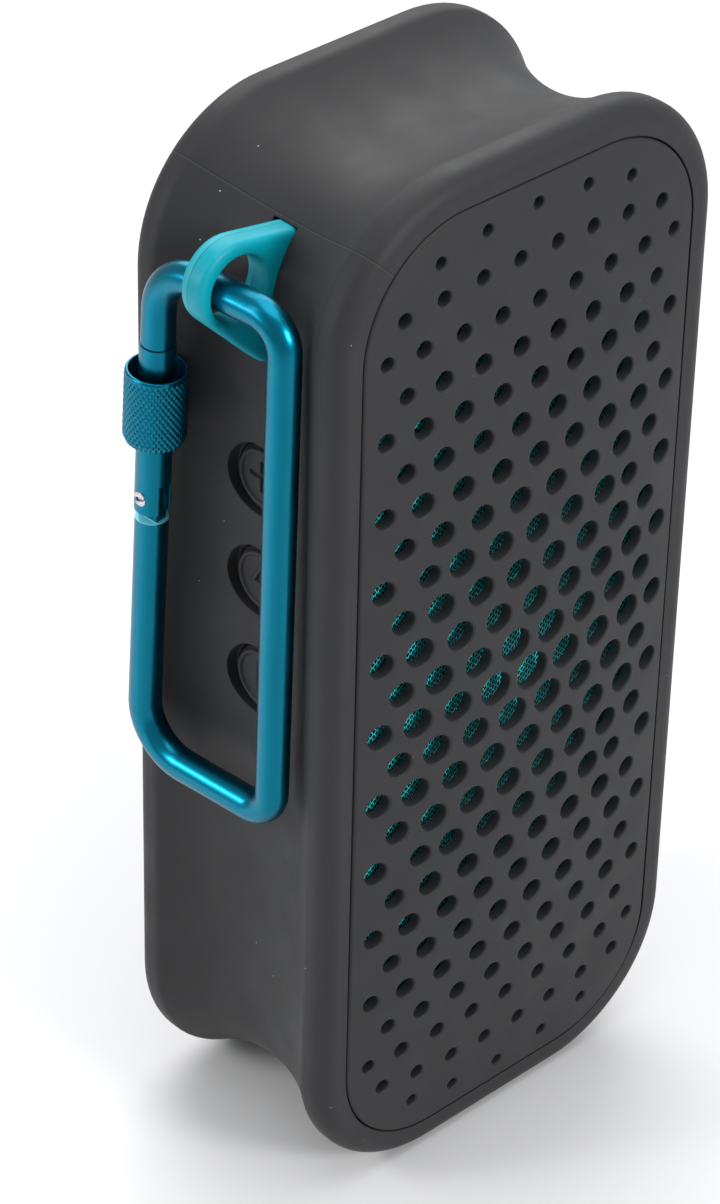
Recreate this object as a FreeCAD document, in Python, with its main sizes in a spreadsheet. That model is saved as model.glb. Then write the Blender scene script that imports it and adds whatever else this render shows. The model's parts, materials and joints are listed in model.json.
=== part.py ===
import FreeCAD, Part
import math
import os
import Sketcher

# Portable rubber-skinned speaker with a carry loop and a screw-lock carabiner.
# Millimetres. +Z is up with the speaker standing on its small end, the grille
# faces -Y and the carabiner hangs on the -X side. The origin is the middle of
# the bounding box's underside.

Vec = FreeCAD.Vector

# Driving dimensions: every size below is bound to these cells.
DIMENSIONS = {
    # frame: where the housing's own centre stands in the row's frame
    "frame_x": 4.12, "frame_y": 1.95,
    # housing
    "body_height": 180.0, "body_width": 78.0, "body_depth": 44.6, "body_corner": 24.5,
    "edge_round": 3.2, "edge_land": 1.0, "waist_round": 2.4, "waist_angle": 35.0,
    "cavity_width": 61.6, "cavity_corner": 16.3, "seat_depth": 3.2, "rear_seat_depth": 2.6,
    "rim_inset": 5.4, "seam_gap": 0.3,
    "boss_radius": 3.2, "boss_side_x": 28.2, "boss_side_rise": 52.0, "boss_end_rise": 79.2,
    "pilot_radius": 1.05, "pilot_depth": 9.0,
    # grille
    "dome_rise": 3.9, "grille_wall": 2.0, "grille_lip": 2.2, "hole_pitch": 7.53, "row_pitch": 6.525,
    "cloth_gap": 0.15, "cloth_wall": 0.5,
    # baffle and drivers
    "baffle_back": 14.1, "baffle_wall": 3.0, "driver_rise": 50.0, "driver_hole": 20.6,
    "flange_radius": 24.0, "flange_wall": 1.2, "coil_radius": 6.2, "pole_radius": 5.4,
    "magnet_radius": 14.5, "magnet_wall": 6.0, "plate_wall": 2.0,
    "radiator_width": 58.0, "radiator_height": 42.0,
    # rear cover and screws
    "cover_wall": 2.0, "gasket_width": 1.6,
    "screw_shank": 1.0, "screw_head": 2.1,
    # electronics
    "board_width": 27.0, "board_length": 64.0, "board_wall": 1.6, "board_x": 14.0, "board_y": 2.0,
    "cell_radius": 9.2, "cell_length": 65.0, "cell_x": -12.0, "cell_y": 9.5,
    "port_rise": -22.0, "port_y": 0.4, "port_width": 8.9, "port_wall": 3.2, "port_length": 7.3,
    "port_cover_width": 14.6, "port_cover_height": 8.6, "port_cover_wall": 0.9,
    # buttons
    "button_pitch": 18.2, "well_radius": 6.1, "well_depth": 1.4, "cap_radius": 5.4,
    "cap_flange": 6.2, "button_hole": 5.65,
    "button_board_length": 54.0, "button_board_width": 14.0, "button_board_wall": 1.2,
    # carry loop
    "loop_wall": 4.7, "loop_outer": 6.9, "loop_eye": 5.1, "loop_end_x": -39.9, "loop_end_rise": 73.2,
    "loop_eye_x": -39.1, "loop_eye_rise": 72.3, "loop_edge": 0.8,
    # carabiner: its own plane is turned a little about Z, and its back leg leans
    "carabiner_x": -41.4, "carabiner_yaw": 4.5, "rod_radius": 2.6,
    "bar_top_rise": 72.1, "bar_low_rise": -15.9, "front_top_y": -13.2, "front_low_y": -11.5,
    "pivot_y": 13.35, "pivot_rise": 31.8, "gate_lean": 2.9,
    "bend_top_front": 5.2, "bend_top_back": 8.0, "bend_low_back": 8.5, "bend_low_front": 4.6,
    # distances along the gate from its pivot
    "shelf": -4.3, "gate_foot": -2.7, "gate_top": 26.7, "key_tip": 24.1,
    "gate_radius": 2.75, "hinge_pin": 0.8, "tongue_wall": 2.0,
    "sleeve_radius": 4.85, "sleeve_foot": 9.9, "sleeve_length": 12.3,
    "sleeve_bore": 2.82, "sleeve_recess": 4.25, "sleeve_recess_depth": 5.0,
}

# Hole radii by row, counted in rows from the middle, and how many holes a row has.
ROW_RADII = [2.55, 2.5, 2.45, 2.4, 2.35, 2.1, 2.0, 1.9, 1.75, 1.6, 1.4]
OUTER_HOLE_SCALE = 0.84
EDGE_ROWS = [(73.1, 1.25, (3.8, 11.2, 18.8, 26.2), 1.9), (80.6, 1.0, (0.0, 10.2, 19.4), 2.6)]

doc = FreeCAD.newDocument("PortableSpeaker")
sheet = doc.addObject("Spreadsheet::Sheet", "Size")
for row, (alias, number) in enumerate(DIMENSIONS.items(), 1):
    sheet.set("A%d" % row, alias)
    sheet.set("B%d" % row, str(number))
    sheet.setAlias("B%d" % row, alias)
doc.recompute()

NODES = {}
ORIGIN = ("Size.frame_x", "Size.frame_y", "0")


# ---------------------------------------------------------------- helpers
def value(expression):
    """Number that an expression over the sheet's cells stands for."""
    return float(sheet.evalExpression(str(expression)))


def cell(alias):
    return value("Size." + alias)


def bind(item, prop, expression):
    item.setExpression(prop, str(expression))


def register(item, label, at=("0", "0", "0"), rotation=None):
    """Name a finished sub-part and place it relative to the housing's centre."""
    item.Label = label
    if rotation is not None:
        item.Placement = FreeCAD.Placement(Vec(0, 0, 0), rotation)
    for axis, base, offset in zip("xyz", ORIGIN, at):
        bind(item, "Placement.Base." + axis, "%s + (%s)" % (base, offset))
    NODES[label] = item
    return item


def shaped(label, shape):
    """Sub-part whose shape is made with Part's functions, in the housing's coordinates."""
    item = doc.addObject("Part::Feature", label)
    item.Shape = shape
    return register(item, label)


def new_body(name):
    return doc.addObject("PartDesign::Body", name)


def sketch(body, name, role="XY_Plane", offset=None):
    origin_plane = next(f for f in body.Origin.OriginFeatures if f.Role == role)
    item = body.newObject("Sketcher::SketchObject", name)
    item.AttachmentSupport = [(origin_plane, "")]
    item.MapMode = "FlatFace"
    if offset is not None:
        bind(item, "AttachmentOffset.Base.z", offset)
    return item


def fix(drawing, kind, *arguments):
    """Dimensional constraint whose last argument is an expression."""
    expression = str(arguments[-1])
    number = drawing.addConstraint(Sketcher.Constraint(kind, *arguments[:-1], value(expression)))
    bind(drawing, "Constraints[%d]" % number, expression)


def polygon(drawing, points):
    corners = [Vec(value(x), value(y), 0) for x, y in points]
    count = len(corners)
    edges = []
    for k in range(count):
        edges.append(drawing.addGeometry(Part.LineSegment(corners[k], corners[(k + 1) % count]), False))
    for k in range(count):
        drawing.addConstraint(Sketcher.Constraint("Coincident", edges[k], 2, edges[(k + 1) % count], 1))
    for k, (x, y) in enumerate(points):
        fix(drawing, "DistanceX", -1, 1, edges[k], 1, x)
        fix(drawing, "DistanceY", -1, 1, edges[k], 1, y)


def circle(drawing, radius, x="0", y="0"):
    ring = drawing.addGeometry(Part.Circle(Vec(value(x), value(y), 0), Vec(0, 0, 1), value(radius)), False)
    fix(drawing, "Radius", ring, radius)
    fix(drawing, "DistanceX", -1, 1, ring, 3, x)
    fix(drawing, "DistanceY", -1, 1, ring, 3, y)


def rounded_rectangle(drawing, width, height, corner, x="0", y="0"):
    """Rectangle with four equal corner arcs, centred on (x, y)."""
    cx, cy, r = value(x), value(y), value(corner)
    half_w, half_h = value(width) / 2, value(height) / 2
    centres = [(half_w - r, half_h - r), (r - half_w, half_h - r),
               (r - half_w, r - half_h), (half_w - r, r - half_h)]
    sides = [((half_w - r, half_h), (r - half_w, half_h)), ((-half_w, half_h - r), (-half_w, r - half_h)),
             ((r - half_w, -half_h), (half_w - r, -half_h)), ((half_w, r - half_h), (half_w, half_h - r))]
    arcs, lines = [], []
    for k, (px, py) in enumerate(centres):
        ring = Part.Circle(Vec(cx + px, cy + py, 0), Vec(0, 0, 1), r)
        arc = Part.ArcOfCircle(ring, math.radians(90 * k), math.radians(90 * k + 90))
        arcs.append(drawing.addGeometry(arc, False))
    for start, end in sides:
        line = Part.LineSegment(Vec(cx + start[0], cy + start[1], 0), Vec(cx + end[0], cy + end[1], 0))
        lines.append(drawing.addGeometry(line, False))
    for k in range(4):
        drawing.addConstraint(Sketcher.Constraint("Tangent", arcs[k], 2, lines[k], 1))
        drawing.addConstraint(Sketcher.Constraint("Tangent", lines[k], 2, arcs[(k + 1) % 4], 1))
        drawing.addConstraint(Sketcher.Constraint("Horizontal" if k % 2 == 0 else "Vertical", lines[k]))
    for k in (1, 2, 3):
        drawing.addConstraint(Sketcher.Constraint("Equal", arcs[0], arcs[k]))
    fix(drawing, "Radius", arcs[0], corner)
    fix(drawing, "DistanceX", -1, 1, arcs[0], 3, "(%s) + (%s)/2 - (%s)" % (x, width, corner))
    fix(drawing, "DistanceY", -1, 1, arcs[0], 3, "(%s) + (%s)/2 - (%s)" % (y, height, corner))
    fix(drawing, "DistanceX", arcs[1], 3, arcs[0], 3, "(%s) - 2*(%s)" % (width, corner))
    fix(drawing, "DistanceY", arcs[3], 3, arcs[0], 3, "(%s) - 2*(%s)" % (height, corner))


def pad(body, drawing, length, name):
    feature = body.newObject("PartDesign::Pad", name)
    feature.Profile = drawing
    bind(feature, "Length", length)
    doc.recompute()
    return feature


def pocket(body, drawing, length, name, flip=False):
    """Pocket that must take material away."""
    before = body.Shape.Volume
    feature = body.newObject("PartDesign::Pocket", name)
    feature.Profile = drawing
    bind(feature, "Length", length)
    feature.Reversed = flip
    doc.recompute()
    if feature.Shape.Volume >= before - 1e-6:
        raise RuntimeError(name + " cuts nothing")
    return feature


def turned(name, points):
    """Body turned about its own Z axis from (radius, height) corners."""
    body = new_body(name)
    drawing = sketch(body, name + "_profile", "XZ_Plane")
    polygon(drawing, points)
    feature = body.newObject("PartDesign::Revolution", name + "_turn")
    feature.Profile = drawing
    feature.ReferenceAxis = (drawing, ["V_Axis"])
    feature.Angle = 360.0
    doc.recompute()
    return body


def polar(body, feature, count, name):
    pattern = body.newObject("PartDesign::PolarPattern", name)
    pattern.Originals = [feature]
    axis = next(f for f in body.Origin.OriginFeatures if f.Role == "Z_Axis")
    pattern.Axis = (axis, [""])
    pattern.Angle = 360.0
    pattern.Occurrences = count
    body.Tip = pattern
    doc.recompute()
    return pattern


def box(x0, x1, y0, y1, z0, z1):
    return Part.makeBox(x1 - x0, y1 - y0, z1 - z0, Vec(x0, y0, z0))


def rounded_face(width, height, corner, y):
    """Rounded rectangle in the plane at y, centred on the housing."""
    mid = cell("body_height") / 2
    half_w, half_h = width / 2 - corner, height / 2 - corner
    edges = []
    for k, (sx, sz) in enumerate(((1, 1), (-1, 1), (-1, -1), (1, -1))):
        centre = Vec(sx * half_w, y, mid + sz * half_h)
        start, middle, end = (centre + turn(corner, 90 * k + step) for step in (0, 45, 90))
        edges.append(Part.Arc(start, middle, end).toShape())
    closed = []
    for k in range(4):
        closed.append(edges[k])
        closed.append(Part.makeLine(edges[k].Vertexes[1].Point, edges[(k + 1) % 4].Vertexes[0].Point))
    return Part.Face(Part.Wire(closed))


def turn(radius, degrees):
    angle = math.radians(degrees)
    return Vec(radius * math.cos(angle), 0, radius * math.sin(angle))


def slab(width, height, corner, y0, y1):
    return rounded_face(width, height, corner, y0).extrude(Vec(0, y1 - y0, 0))


def cylinder(radius, length, at, axis):
    return Part.makeCylinder(radius, length, Vec(*at), Vec(*axis))


# ---------------------------------------------------------------- housing
def waist_profile():
    """Half of the wall's outline as an inset from the flange, from the front face to mid depth.

    A quarter round, a narrow flat land, a convex shoulder and one long hollow arc.
    """
    edge, land, shoulder = cell("edge_round"), cell("edge_land"), cell("waist_round")
    angle = math.radians(cell("waist_angle"))
    half = cell("body_depth") / 2
    end_depth = edge + land + shoulder * math.sin(angle)
    end_inset = shoulder * (1 - math.cos(angle))
    hollow = (half - end_depth) / math.sin(angle)
    deepest = end_inset + hollow * (1 - math.cos(angle))
    return edge, land, shoulder, angle, half, end_depth, end_inset, hollow, deepest


def waist_wire(side_x):
    """Closed profile in the XY plane: the solid side runs from x = 0 out to side_x."""
    edge, land, shoulder, angle, half, end_depth, end_inset, hollow, deepest = waist_profile()

    def at(depth, inset):
        return Vec(side_x - inset, depth - half, 0)

    quarter = edge * (1 - math.sqrt(0.5))
    step = angle / 2
    points = [at(0, edge), at(quarter, quarter), at(edge, 0), at(edge + land, 0),
              at(edge + land + shoulder * math.sin(step), shoulder * (1 - math.cos(step))),
              at(end_depth, end_inset)]
    dip = at(half, deepest)
    mirror = [Vec(p.x, -p.y, 0) for p in reversed(points)]
    edges = [Part.Arc(points[0], points[1], points[2]).toShape(), Part.makeLine(points[2], points[3]),
             Part.Arc(points[3], points[4], points[5]).toShape(),
             Part.Arc(points[5], dip, mirror[0]).toShape(),
             Part.Arc(mirror[0], mirror[1], mirror[2]).toShape(), Part.makeLine(mirror[2], mirror[3]),
             Part.Arc(mirror[3], mirror[4], mirror[5]).toShape()]
    front, back = Vec(0, -half, 0), Vec(0, half, 0)
    edges += [Part.makeLine(mirror[5], back), Part.makeLine(back, front), Part.makeLine(front, points[0])]
    return Part.Wire(edges)


def waisted_block():
    """Solid block with the waist running all round it: four straight sides and four turned corners."""
    half_w, height, corner = cell("body_width") / 2, cell("body_height"), cell("body_corner")
    half = cell("body_depth") / 2
    face = Part.Face(waist_wire(corner))
    pieces = []
    for sx, sz in ((1, 1), (-1, 1), (-1, -1), (1, -1)):
        centre = Vec(sx * (half_w - corner), 0, height / 2 + sz * (height / 2 - corner))
        start = {(1, 1): 0, (-1, 1): -90, (-1, -1): 180, (1, -1): 90}[(sx, sz)]
        sector = face.copy()
        sector.rotate(Vec(0, 0, 0), Vec(0, 1, 0), start)
        sector = sector.revolve(Vec(0, 0, 0), Vec(0, 1, 0), -90)
        sector.translate(centre)
        pieces.append(sector)
    side_z = height - 2 * corner
    side_x = 2 * (half_w - corner)
    for start, origin, along in ((0, Vec(half_w - corner, 0, corner), Vec(0, 0, side_z)),
                                 (180, Vec(corner - half_w, 0, corner), Vec(0, 0, side_z)),
                                 (-90, Vec(corner - half_w, 0, height - corner), Vec(side_x, 0, 0)),
                                 (90, Vec(corner - half_w, 0, corner), Vec(side_x, 0, 0))):
        side = face.copy()
        side.rotate(Vec(0, 0, 0), Vec(0, 1, 0), start)
        side.translate(origin)
        pieces.append(side.extrude(along))
    pieces.append(box(corner - half_w, half_w - corner, -half, half, corner, height - corner))
    return pieces[0].multiFuse(pieces[1:]).removeSplitter()


def boss_places():
    mid = cell("body_height") / 2
    side, rise, end = cell("boss_side_x"), cell("boss_side_rise"), cell("boss_end_rise")
    return [(side, mid + rise), (-side, mid + rise), (side, mid - rise), (-side, mid - rise),
            (0.0, mid + end), (0.0, mid - end)]


def button_heights():
    mid, pitch = cell("body_height") / 2, cell("button_pitch")
    return [mid, mid + pitch, mid + 2 * pitch]


def loop_outline(grow, root_x):
    """Face of the carry loop in the plane y = 0: round outer end, falling top, 45 degree underside."""
    mid = cell("body_height") / 2
    centre = Vec(cell("loop_end_x"), 0, mid + cell("loop_end_rise"))
    radius = cell("loop_outer") + grow
    upper = centre + turn(radius, 80)
    lower = centre + turn(radius, 225)
    slope_end = lower + Vec(1, 0, -1) * (root_x - lower.x - 1.2)
    top_end = upper + turn((-25.0 - upper.x) / math.cos(math.radians(10)), -10)
    arc = Part.Arc(upper, centre + turn(radius, 152), lower).toShape()
    corners = [lower, slope_end, Vec(root_x + 4.5, 0, slope_end.z), Vec(-24.2, 0, 158.0), top_end, upper]
    edges = [arc] + [Part.makeLine(a, b) for a, b in zip(corners, corners[1:])]
    return Part.Face(Part.Wire(edges))


def make_main_shell():
    half, mid = cell("body_depth") / 2, cell("body_height") / 2
    inset, gap = cell("rim_inset"), cell("seam_gap")
    opening_w = cell("body_width") - 2 * inset + 2 * gap
    opening_h = cell("body_height") - 2 * inset + 2 * gap
    opening_r = cell("body_corner") - inset + gap
    cavity_w, cavity_r = cell("cavity_width"), cell("cavity_corner")
    cavity_h = cavity_w + cell("body_height") - cell("body_width")
    seat, rear = -half + cell("seat_depth"), half - cell("rear_seat_depth")
    shell = waisted_block()
    shell = shell.cut([slab(opening_w, opening_h, opening_r, -half - 1, seat),
                       slab(cavity_w, cavity_h, cavity_r, seat - 0.5, rear + 0.5),
                       slab(opening_w, opening_h, opening_r, rear, half + 1)])
    front_end = -cell("baffle_back")
    bosses = [cylinder(cell("boss_radius"), rear - front_end, (x, front_end, z), (0, 1, 0))
              for x, z in boss_places()]
    lugs = [box(-cavity_w / 2 - 0.5, -25.6, y, y + 2.6, 152.5, 160.5) for y in (-8.0, 5.4)]
    posts = [cylinder(1.9, 5.5, (-cavity_w / 2 - 0.5, 0, z), (1, 0, 0)) for z in button_post_heights()]
    shell = shell.fuse(bosses + lugs + posts)
    cuts = []
    for x, z in boss_places():
        cuts.append(cylinder(cell("pilot_radius"), cell("pilot_depth"), (x, front_end, z), (0, 1, 0)))
        cuts.append(cylinder(cell("pilot_radius"), cell("pilot_depth"), (x, rear, z), (0, -1, 0)))
    wall_x = cell("body_width") / 2 - waist_profile()[-1]
    for z in button_heights():
        cuts.append(cylinder(cell("well_radius"), 9, (-wall_x + cell("well_depth"), 0, z), (-1, 0, 0)))
        cuts.append(cylinder(cell("button_hole"), 9, (-cavity_w / 2 + 3, 0, z), (-1, 0, 0)))
    for z in button_post_heights():
        cuts.append(cylinder(0.75, 4.5, (-cavity_w / 2 + 5, 0, z), (-1, 0, 0)))
    slot = loop_outline(0.15, -33.3)
    slot.translate(Vec(0, -cell("loop_wall") / 2 - 0.15, 0))
    slot = slot.extrude(Vec(0, cell("loop_wall") + 0.3, 0))
    cuts.append(slot)
    cuts.append(cylinder(1.25, 22, (loop_pin_place()[0], -11, loop_pin_place()[1]), (0, 1, 0)))
    port_z, port_y = mid + cell("port_rise"), cell("port_y")
    cuts.append(box(cavity_w / 2 - 1, 40, port_y - 2.3, port_y + 2.3, port_z - 5.2, port_z + 5.2))
    cover_w, cover_h = cell("port_cover_width") + 0.4, cell("port_cover_height") + 0.4
    cuts.append(box(32.2, 40, port_y - cover_h / 2, port_y + cover_h / 2,
                    port_z - cover_w / 2, port_z + cover_w / 2))
    cuts.append(cylinder(0.85, 12, (cavity_w / 2 - 1, port_y, port_z + 13.0), (1, 0, 0)))
    return shaped("main_shell", shell.cut(cuts).removeSplitter())


def loop_pin_place():
    return -28.0, 156.6


def button_post_heights():
    mid, pitch = cell("body_height") / 2, cell("button_pitch")
    return [mid + pitch / 2, mid + 1.5 * pitch]


# ---------------------------------------------------------------- grille
def dome_sheet(shift):
    """Biquadratic pillow surface: flat along its rectangular edge, highest in the middle."""
    half = cell("body_depth") / 2
    half_w = cell("body_width") / 2 - cell("rim_inset")
    half_h = cell("body_height") / 2 - cell("rim_inset")
    rise, mid = cell("dome_rise"), cell("body_height") / 2
    surface = Part.BezierSurface()
    surface.increase(2, 2)
    for i in range(3):
        for j in range(3):
            lift = 4 * rise if (i, j) == (1, 1) else 0.0
            pole = Vec((i - 1) * (half_w + 1), -half - lift + shift, mid + (j - 1) * (half_h + 1))
            surface.setPole(i + 1, j + 1, pole)
    return surface.toShape()


def dome_height(x, z):
    """How far in front of the rim the grille's outer face lies at (x, z)."""
    half_w = cell("body_width") / 2 - cell("rim_inset") + 1
    half_h = cell("body_height") / 2 - cell("rim_inset") + 1
    z = z - cell("body_height") / 2
    return cell("dome_rise") * (1 - (x / half_w) ** 2) * (1 - (z / half_h) ** 2)


def hole_list():
    """(x, z, radius) of every grille hole: staggered rows that shrink towards both ends."""
    mid, pitch, row_pitch = cell("body_height") / 2, cell("hole_pitch"), cell("row_pitch")
    holes = []
    for row, radius in enumerate(ROW_RADII):
        even = row % 2 == 0
        places = [k * pitch for k in range(-4, 5)] if even else [(k + 0.5) * pitch for k in range(-4, 4)]
        if row == 4:
            places = [x for x in places if abs(abs(x) - 3 * pitch) > 0.1] + [-2.8 * pitch, 2.8 * pitch]
        for x in places:
            size = radius
            if abs(x) > 3.4 * pitch:
                size = radius * OUTER_HOLE_SCALE
                x = x * 0.975
            if row == 0 and abs(x) < 0.1:
                size = radius * 1.25
            if row <= 1 and 0.1 < abs(x) < 1.1 * pitch:
                size = radius * 1.12
            if row == 4 and abs(abs(x) - 2.8 * pitch) < 0.1:
                size = radius * 0.8
            for side in ((1,) if row == 0 else (1, -1)):
                holes.append((x, mid + side * row * row_pitch, size))
    for rise, radius, places, bow in EDGE_ROWS:
        widest = max(places)
        for x in places:
            z = rise - bow * (x / widest) ** 2
            for sx in ((1,) if x == 0 else (1, -1)):
                for sz in (1, -1):
                    holes.append((sx * x, mid + sz * z, radius))
    return holes


def make_front_grille():
    half = cell("body_depth") / 2
    inset = cell("rim_inset")
    width, height = cell("body_width") - 2 * inset, cell("body_height") - 2 * inset
    corner, lip = cell("body_corner") - inset, cell("grille_lip")
    seat = -half + cell("seat_depth")
    front = -half - cell("dome_rise") - 2
    blank = slab(width, height, corner, front, seat)
    outside = dome_sheet(0.0).extrude(Vec(0, -12, 0))
    inside = dome_sheet(cell("grille_wall")).extrude(Vec(0, 12, 0))
    hollow = slab(width - 2 * lip, height - 2 * lip, corner - lip, front, seat + 1).common(inside)
    plate = blank.cut([outside, hollow])
    holes = [(Vec(x, -half - dome_height(x, z), z), radius) for x, z, radius in hole_list()]
    plate = plate.cut(Part.makeCompound([cylinder(r, 9, (p.x, p.y - 2, p.z), (0, 1, 0)) for p, r in holes]))
    if any(plate.isInside(p + Vec(0, 1, 0), 1e-4, True) for p, r in holes):
        raise RuntimeError("a grille hole is not cut")
    return shaped("front_grille", plate)


def make_grille_cloth():
    half, inset, lip = cell("body_depth") / 2, cell("rim_inset"), cell("grille_lip") + 0.3
    width, height = cell("body_width") - 2 * inset - 2 * lip, cell("body_height") - 2 * inset - 2 * lip
    corner = cell("body_corner") - inset - lip
    start = cell("grille_wall") + cell("cloth_gap")
    blank = slab(width, height, corner, -half - cell("dome_rise") - 2, -half + cell("seat_depth") + 1)
    outside = dome_sheet(start).extrude(Vec(0, -14, 0))
    inside = dome_sheet(start + cell("cloth_wall")).extrude(Vec(0, 14, 0))
    return shaped("grille_cloth", blank.cut([outside, inside]))


# ---------------------------------------------------------------- baffle, cover, gasket
def make_front_baffle():
    body = new_body("Baffle")
    drawing = sketch(body, "baffle_outline", "XZ_Plane", "Size.baffle_back")
    rounded_rectangle(drawing, "Size.cavity_width - 0.4",
                      "Size.cavity_width + Size.body_height - Size.body_width - 0.4",
                      "Size.cavity_corner - 0.2")
    pad(body, drawing, "Size.baffle_wall", "baffle_plate")
    holes = sketch(body, "baffle_holes", "XZ_Plane", "Size.baffle_back")
    circle(holes, "Size.driver_hole", "0", "Size.driver_rise")
    circle(holes, "Size.driver_hole", "0", "-Size.driver_rise")
    rounded_rectangle(holes, "Size.radiator_width - 5", "Size.radiator_height - 5",
                      "Size.radiator_height/2 - 3")
    for sx, sz in ((1, 1), (-1, 1), (-1, -1), (1, -1)):
        circle(holes, "Size.screw_shank + 0.2", "%d*Size.boss_side_x" % sx, "%d*Size.boss_side_rise" % sz)
    circle(holes, "Size.screw_shank + 0.2", "0", "Size.boss_end_rise")
    circle(holes, "Size.screw_shank + 0.2", "0", "-Size.boss_end_rise")
    pocket(body, holes, "Size.baffle_wall", "baffle_cutouts", flip=True)
    return register(body, "front_baffle", ("0", "0", "Size.body_height/2"))


def make_rear_cover():
    body = new_body("RearCover")
    inner = "-(Size.body_depth/2 - Size.cover_wall)"
    drawing = sketch(body, "cover_outline", "XZ_Plane", "-Size.body_depth/2")
    rounded_rectangle(drawing, "Size.body_width - 2*Size.rim_inset", "Size.body_height - 2*Size.rim_inset",
                      "Size.body_corner - Size.rim_inset")
    pad(body, drawing, "Size.cover_wall", "cover_plate")
    pads = sketch(body, "cover_pads", "XZ_Plane", inner)
    for x, z in (("1", "1"), ("-1", "1"), ("-1", "-1"), ("1", "-1")):
        circle(pads, "Size.boss_radius", x + "*Size.boss_side_x", z + "*Size.boss_side_rise")
    circle(pads, "Size.boss_radius", "0", "Size.boss_end_rise")
    circle(pads, "Size.boss_radius", "0", "-Size.boss_end_rise")
    pad(body, pads, "Size.rear_seat_depth - Size.cover_wall", "screw_pads")
    posts = sketch(body, "board_posts", "XZ_Plane", inner)
    for sx, sz in ((1, 1), (-1, 1), (-1, -1), (1, -1)):
        circle(posts, "2.4", "Size.board_x + %d*10.5" % sx, "%d*29" % sz)
    post_length = "Size.body_depth/2 - Size.cover_wall - Size.board_y - Size.board_wall"
    pad(body, posts, post_length, "board_posts_pad")
    pilots = sketch(body, "board_pilots", "XZ_Plane", "-(Size.board_y + Size.board_wall)")
    for sx, sz in ((1, 1), (-1, 1), (-1, -1), (1, -1)):
        circle(pilots, "1.0", "Size.board_x + %d*10.5" % sx, "%d*29" % sz)
    pocket(body, pilots, "7", "board_pilot_holes")
    through = sketch(body, "cover_screw_holes", "XZ_Plane", "-(Size.body_depth/2 - Size.rear_seat_depth)")
    sinks = sketch(body, "cover_screw_sinks", "XZ_Plane", "-Size.body_depth/2")
    for drawing, radius in ((through, "Size.screw_shank + 0.2"), (sinks, "Size.screw_head + 0.25")):
        for sx, sz in ((1, 1), (-1, 1), (-1, -1), (1, -1)):
            circle(drawing, radius, "%d*Size.boss_side_x" % sx, "%d*Size.boss_side_rise" % sz)
        circle(drawing, radius, "0", "Size.boss_end_rise")
        circle(drawing, radius, "0", "-Size.boss_end_rise")
    pocket(body, through, "Size.rear_seat_depth + 1", "cover_screw_bores")
    pocket(body, sinks, "1.3", "cover_screw_counterbores", flip=True)
    return register(body, "rear_cover", ("0", "0", "Size.body_height/2"))


def make_cover_gasket():
    body = new_body("Gasket")
    drawing = sketch(body, "gasket_ring", "XZ_Plane", "-(Size.body_depth/2 - Size.cover_wall)")
    rounded_rectangle(drawing, "Size.body_width - 2*Size.rim_inset - 0.4",
                      "Size.body_height - 2*Size.rim_inset - 0.4", "Size.body_corner - Size.rim_inset - 0.2")
    rounded_rectangle(drawing, "Size.body_width - 2*Size.rim_inset - 0.4 - 2*Size.gasket_width",
                      "Size.body_height - 2*Size.rim_inset - 0.4 - 2*Size.gasket_width",
                      "Size.body_corner - Size.rim_inset - 0.2 - Size.gasket_width")
    pad(body, drawing, "Size.rear_seat_depth - Size.cover_wall", "gasket_pad")
    return register(body, "cover_gasket", ("0", "0", "Size.body_height/2"))


# ---------------------------------------------------------------- loudspeakers
FORWARD = FreeCAD.Rotation(Vec(1, 0, 0), 90)
OUTWARD = FreeCAD.Rotation(Vec(0, 1, 0), -90)


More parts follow.
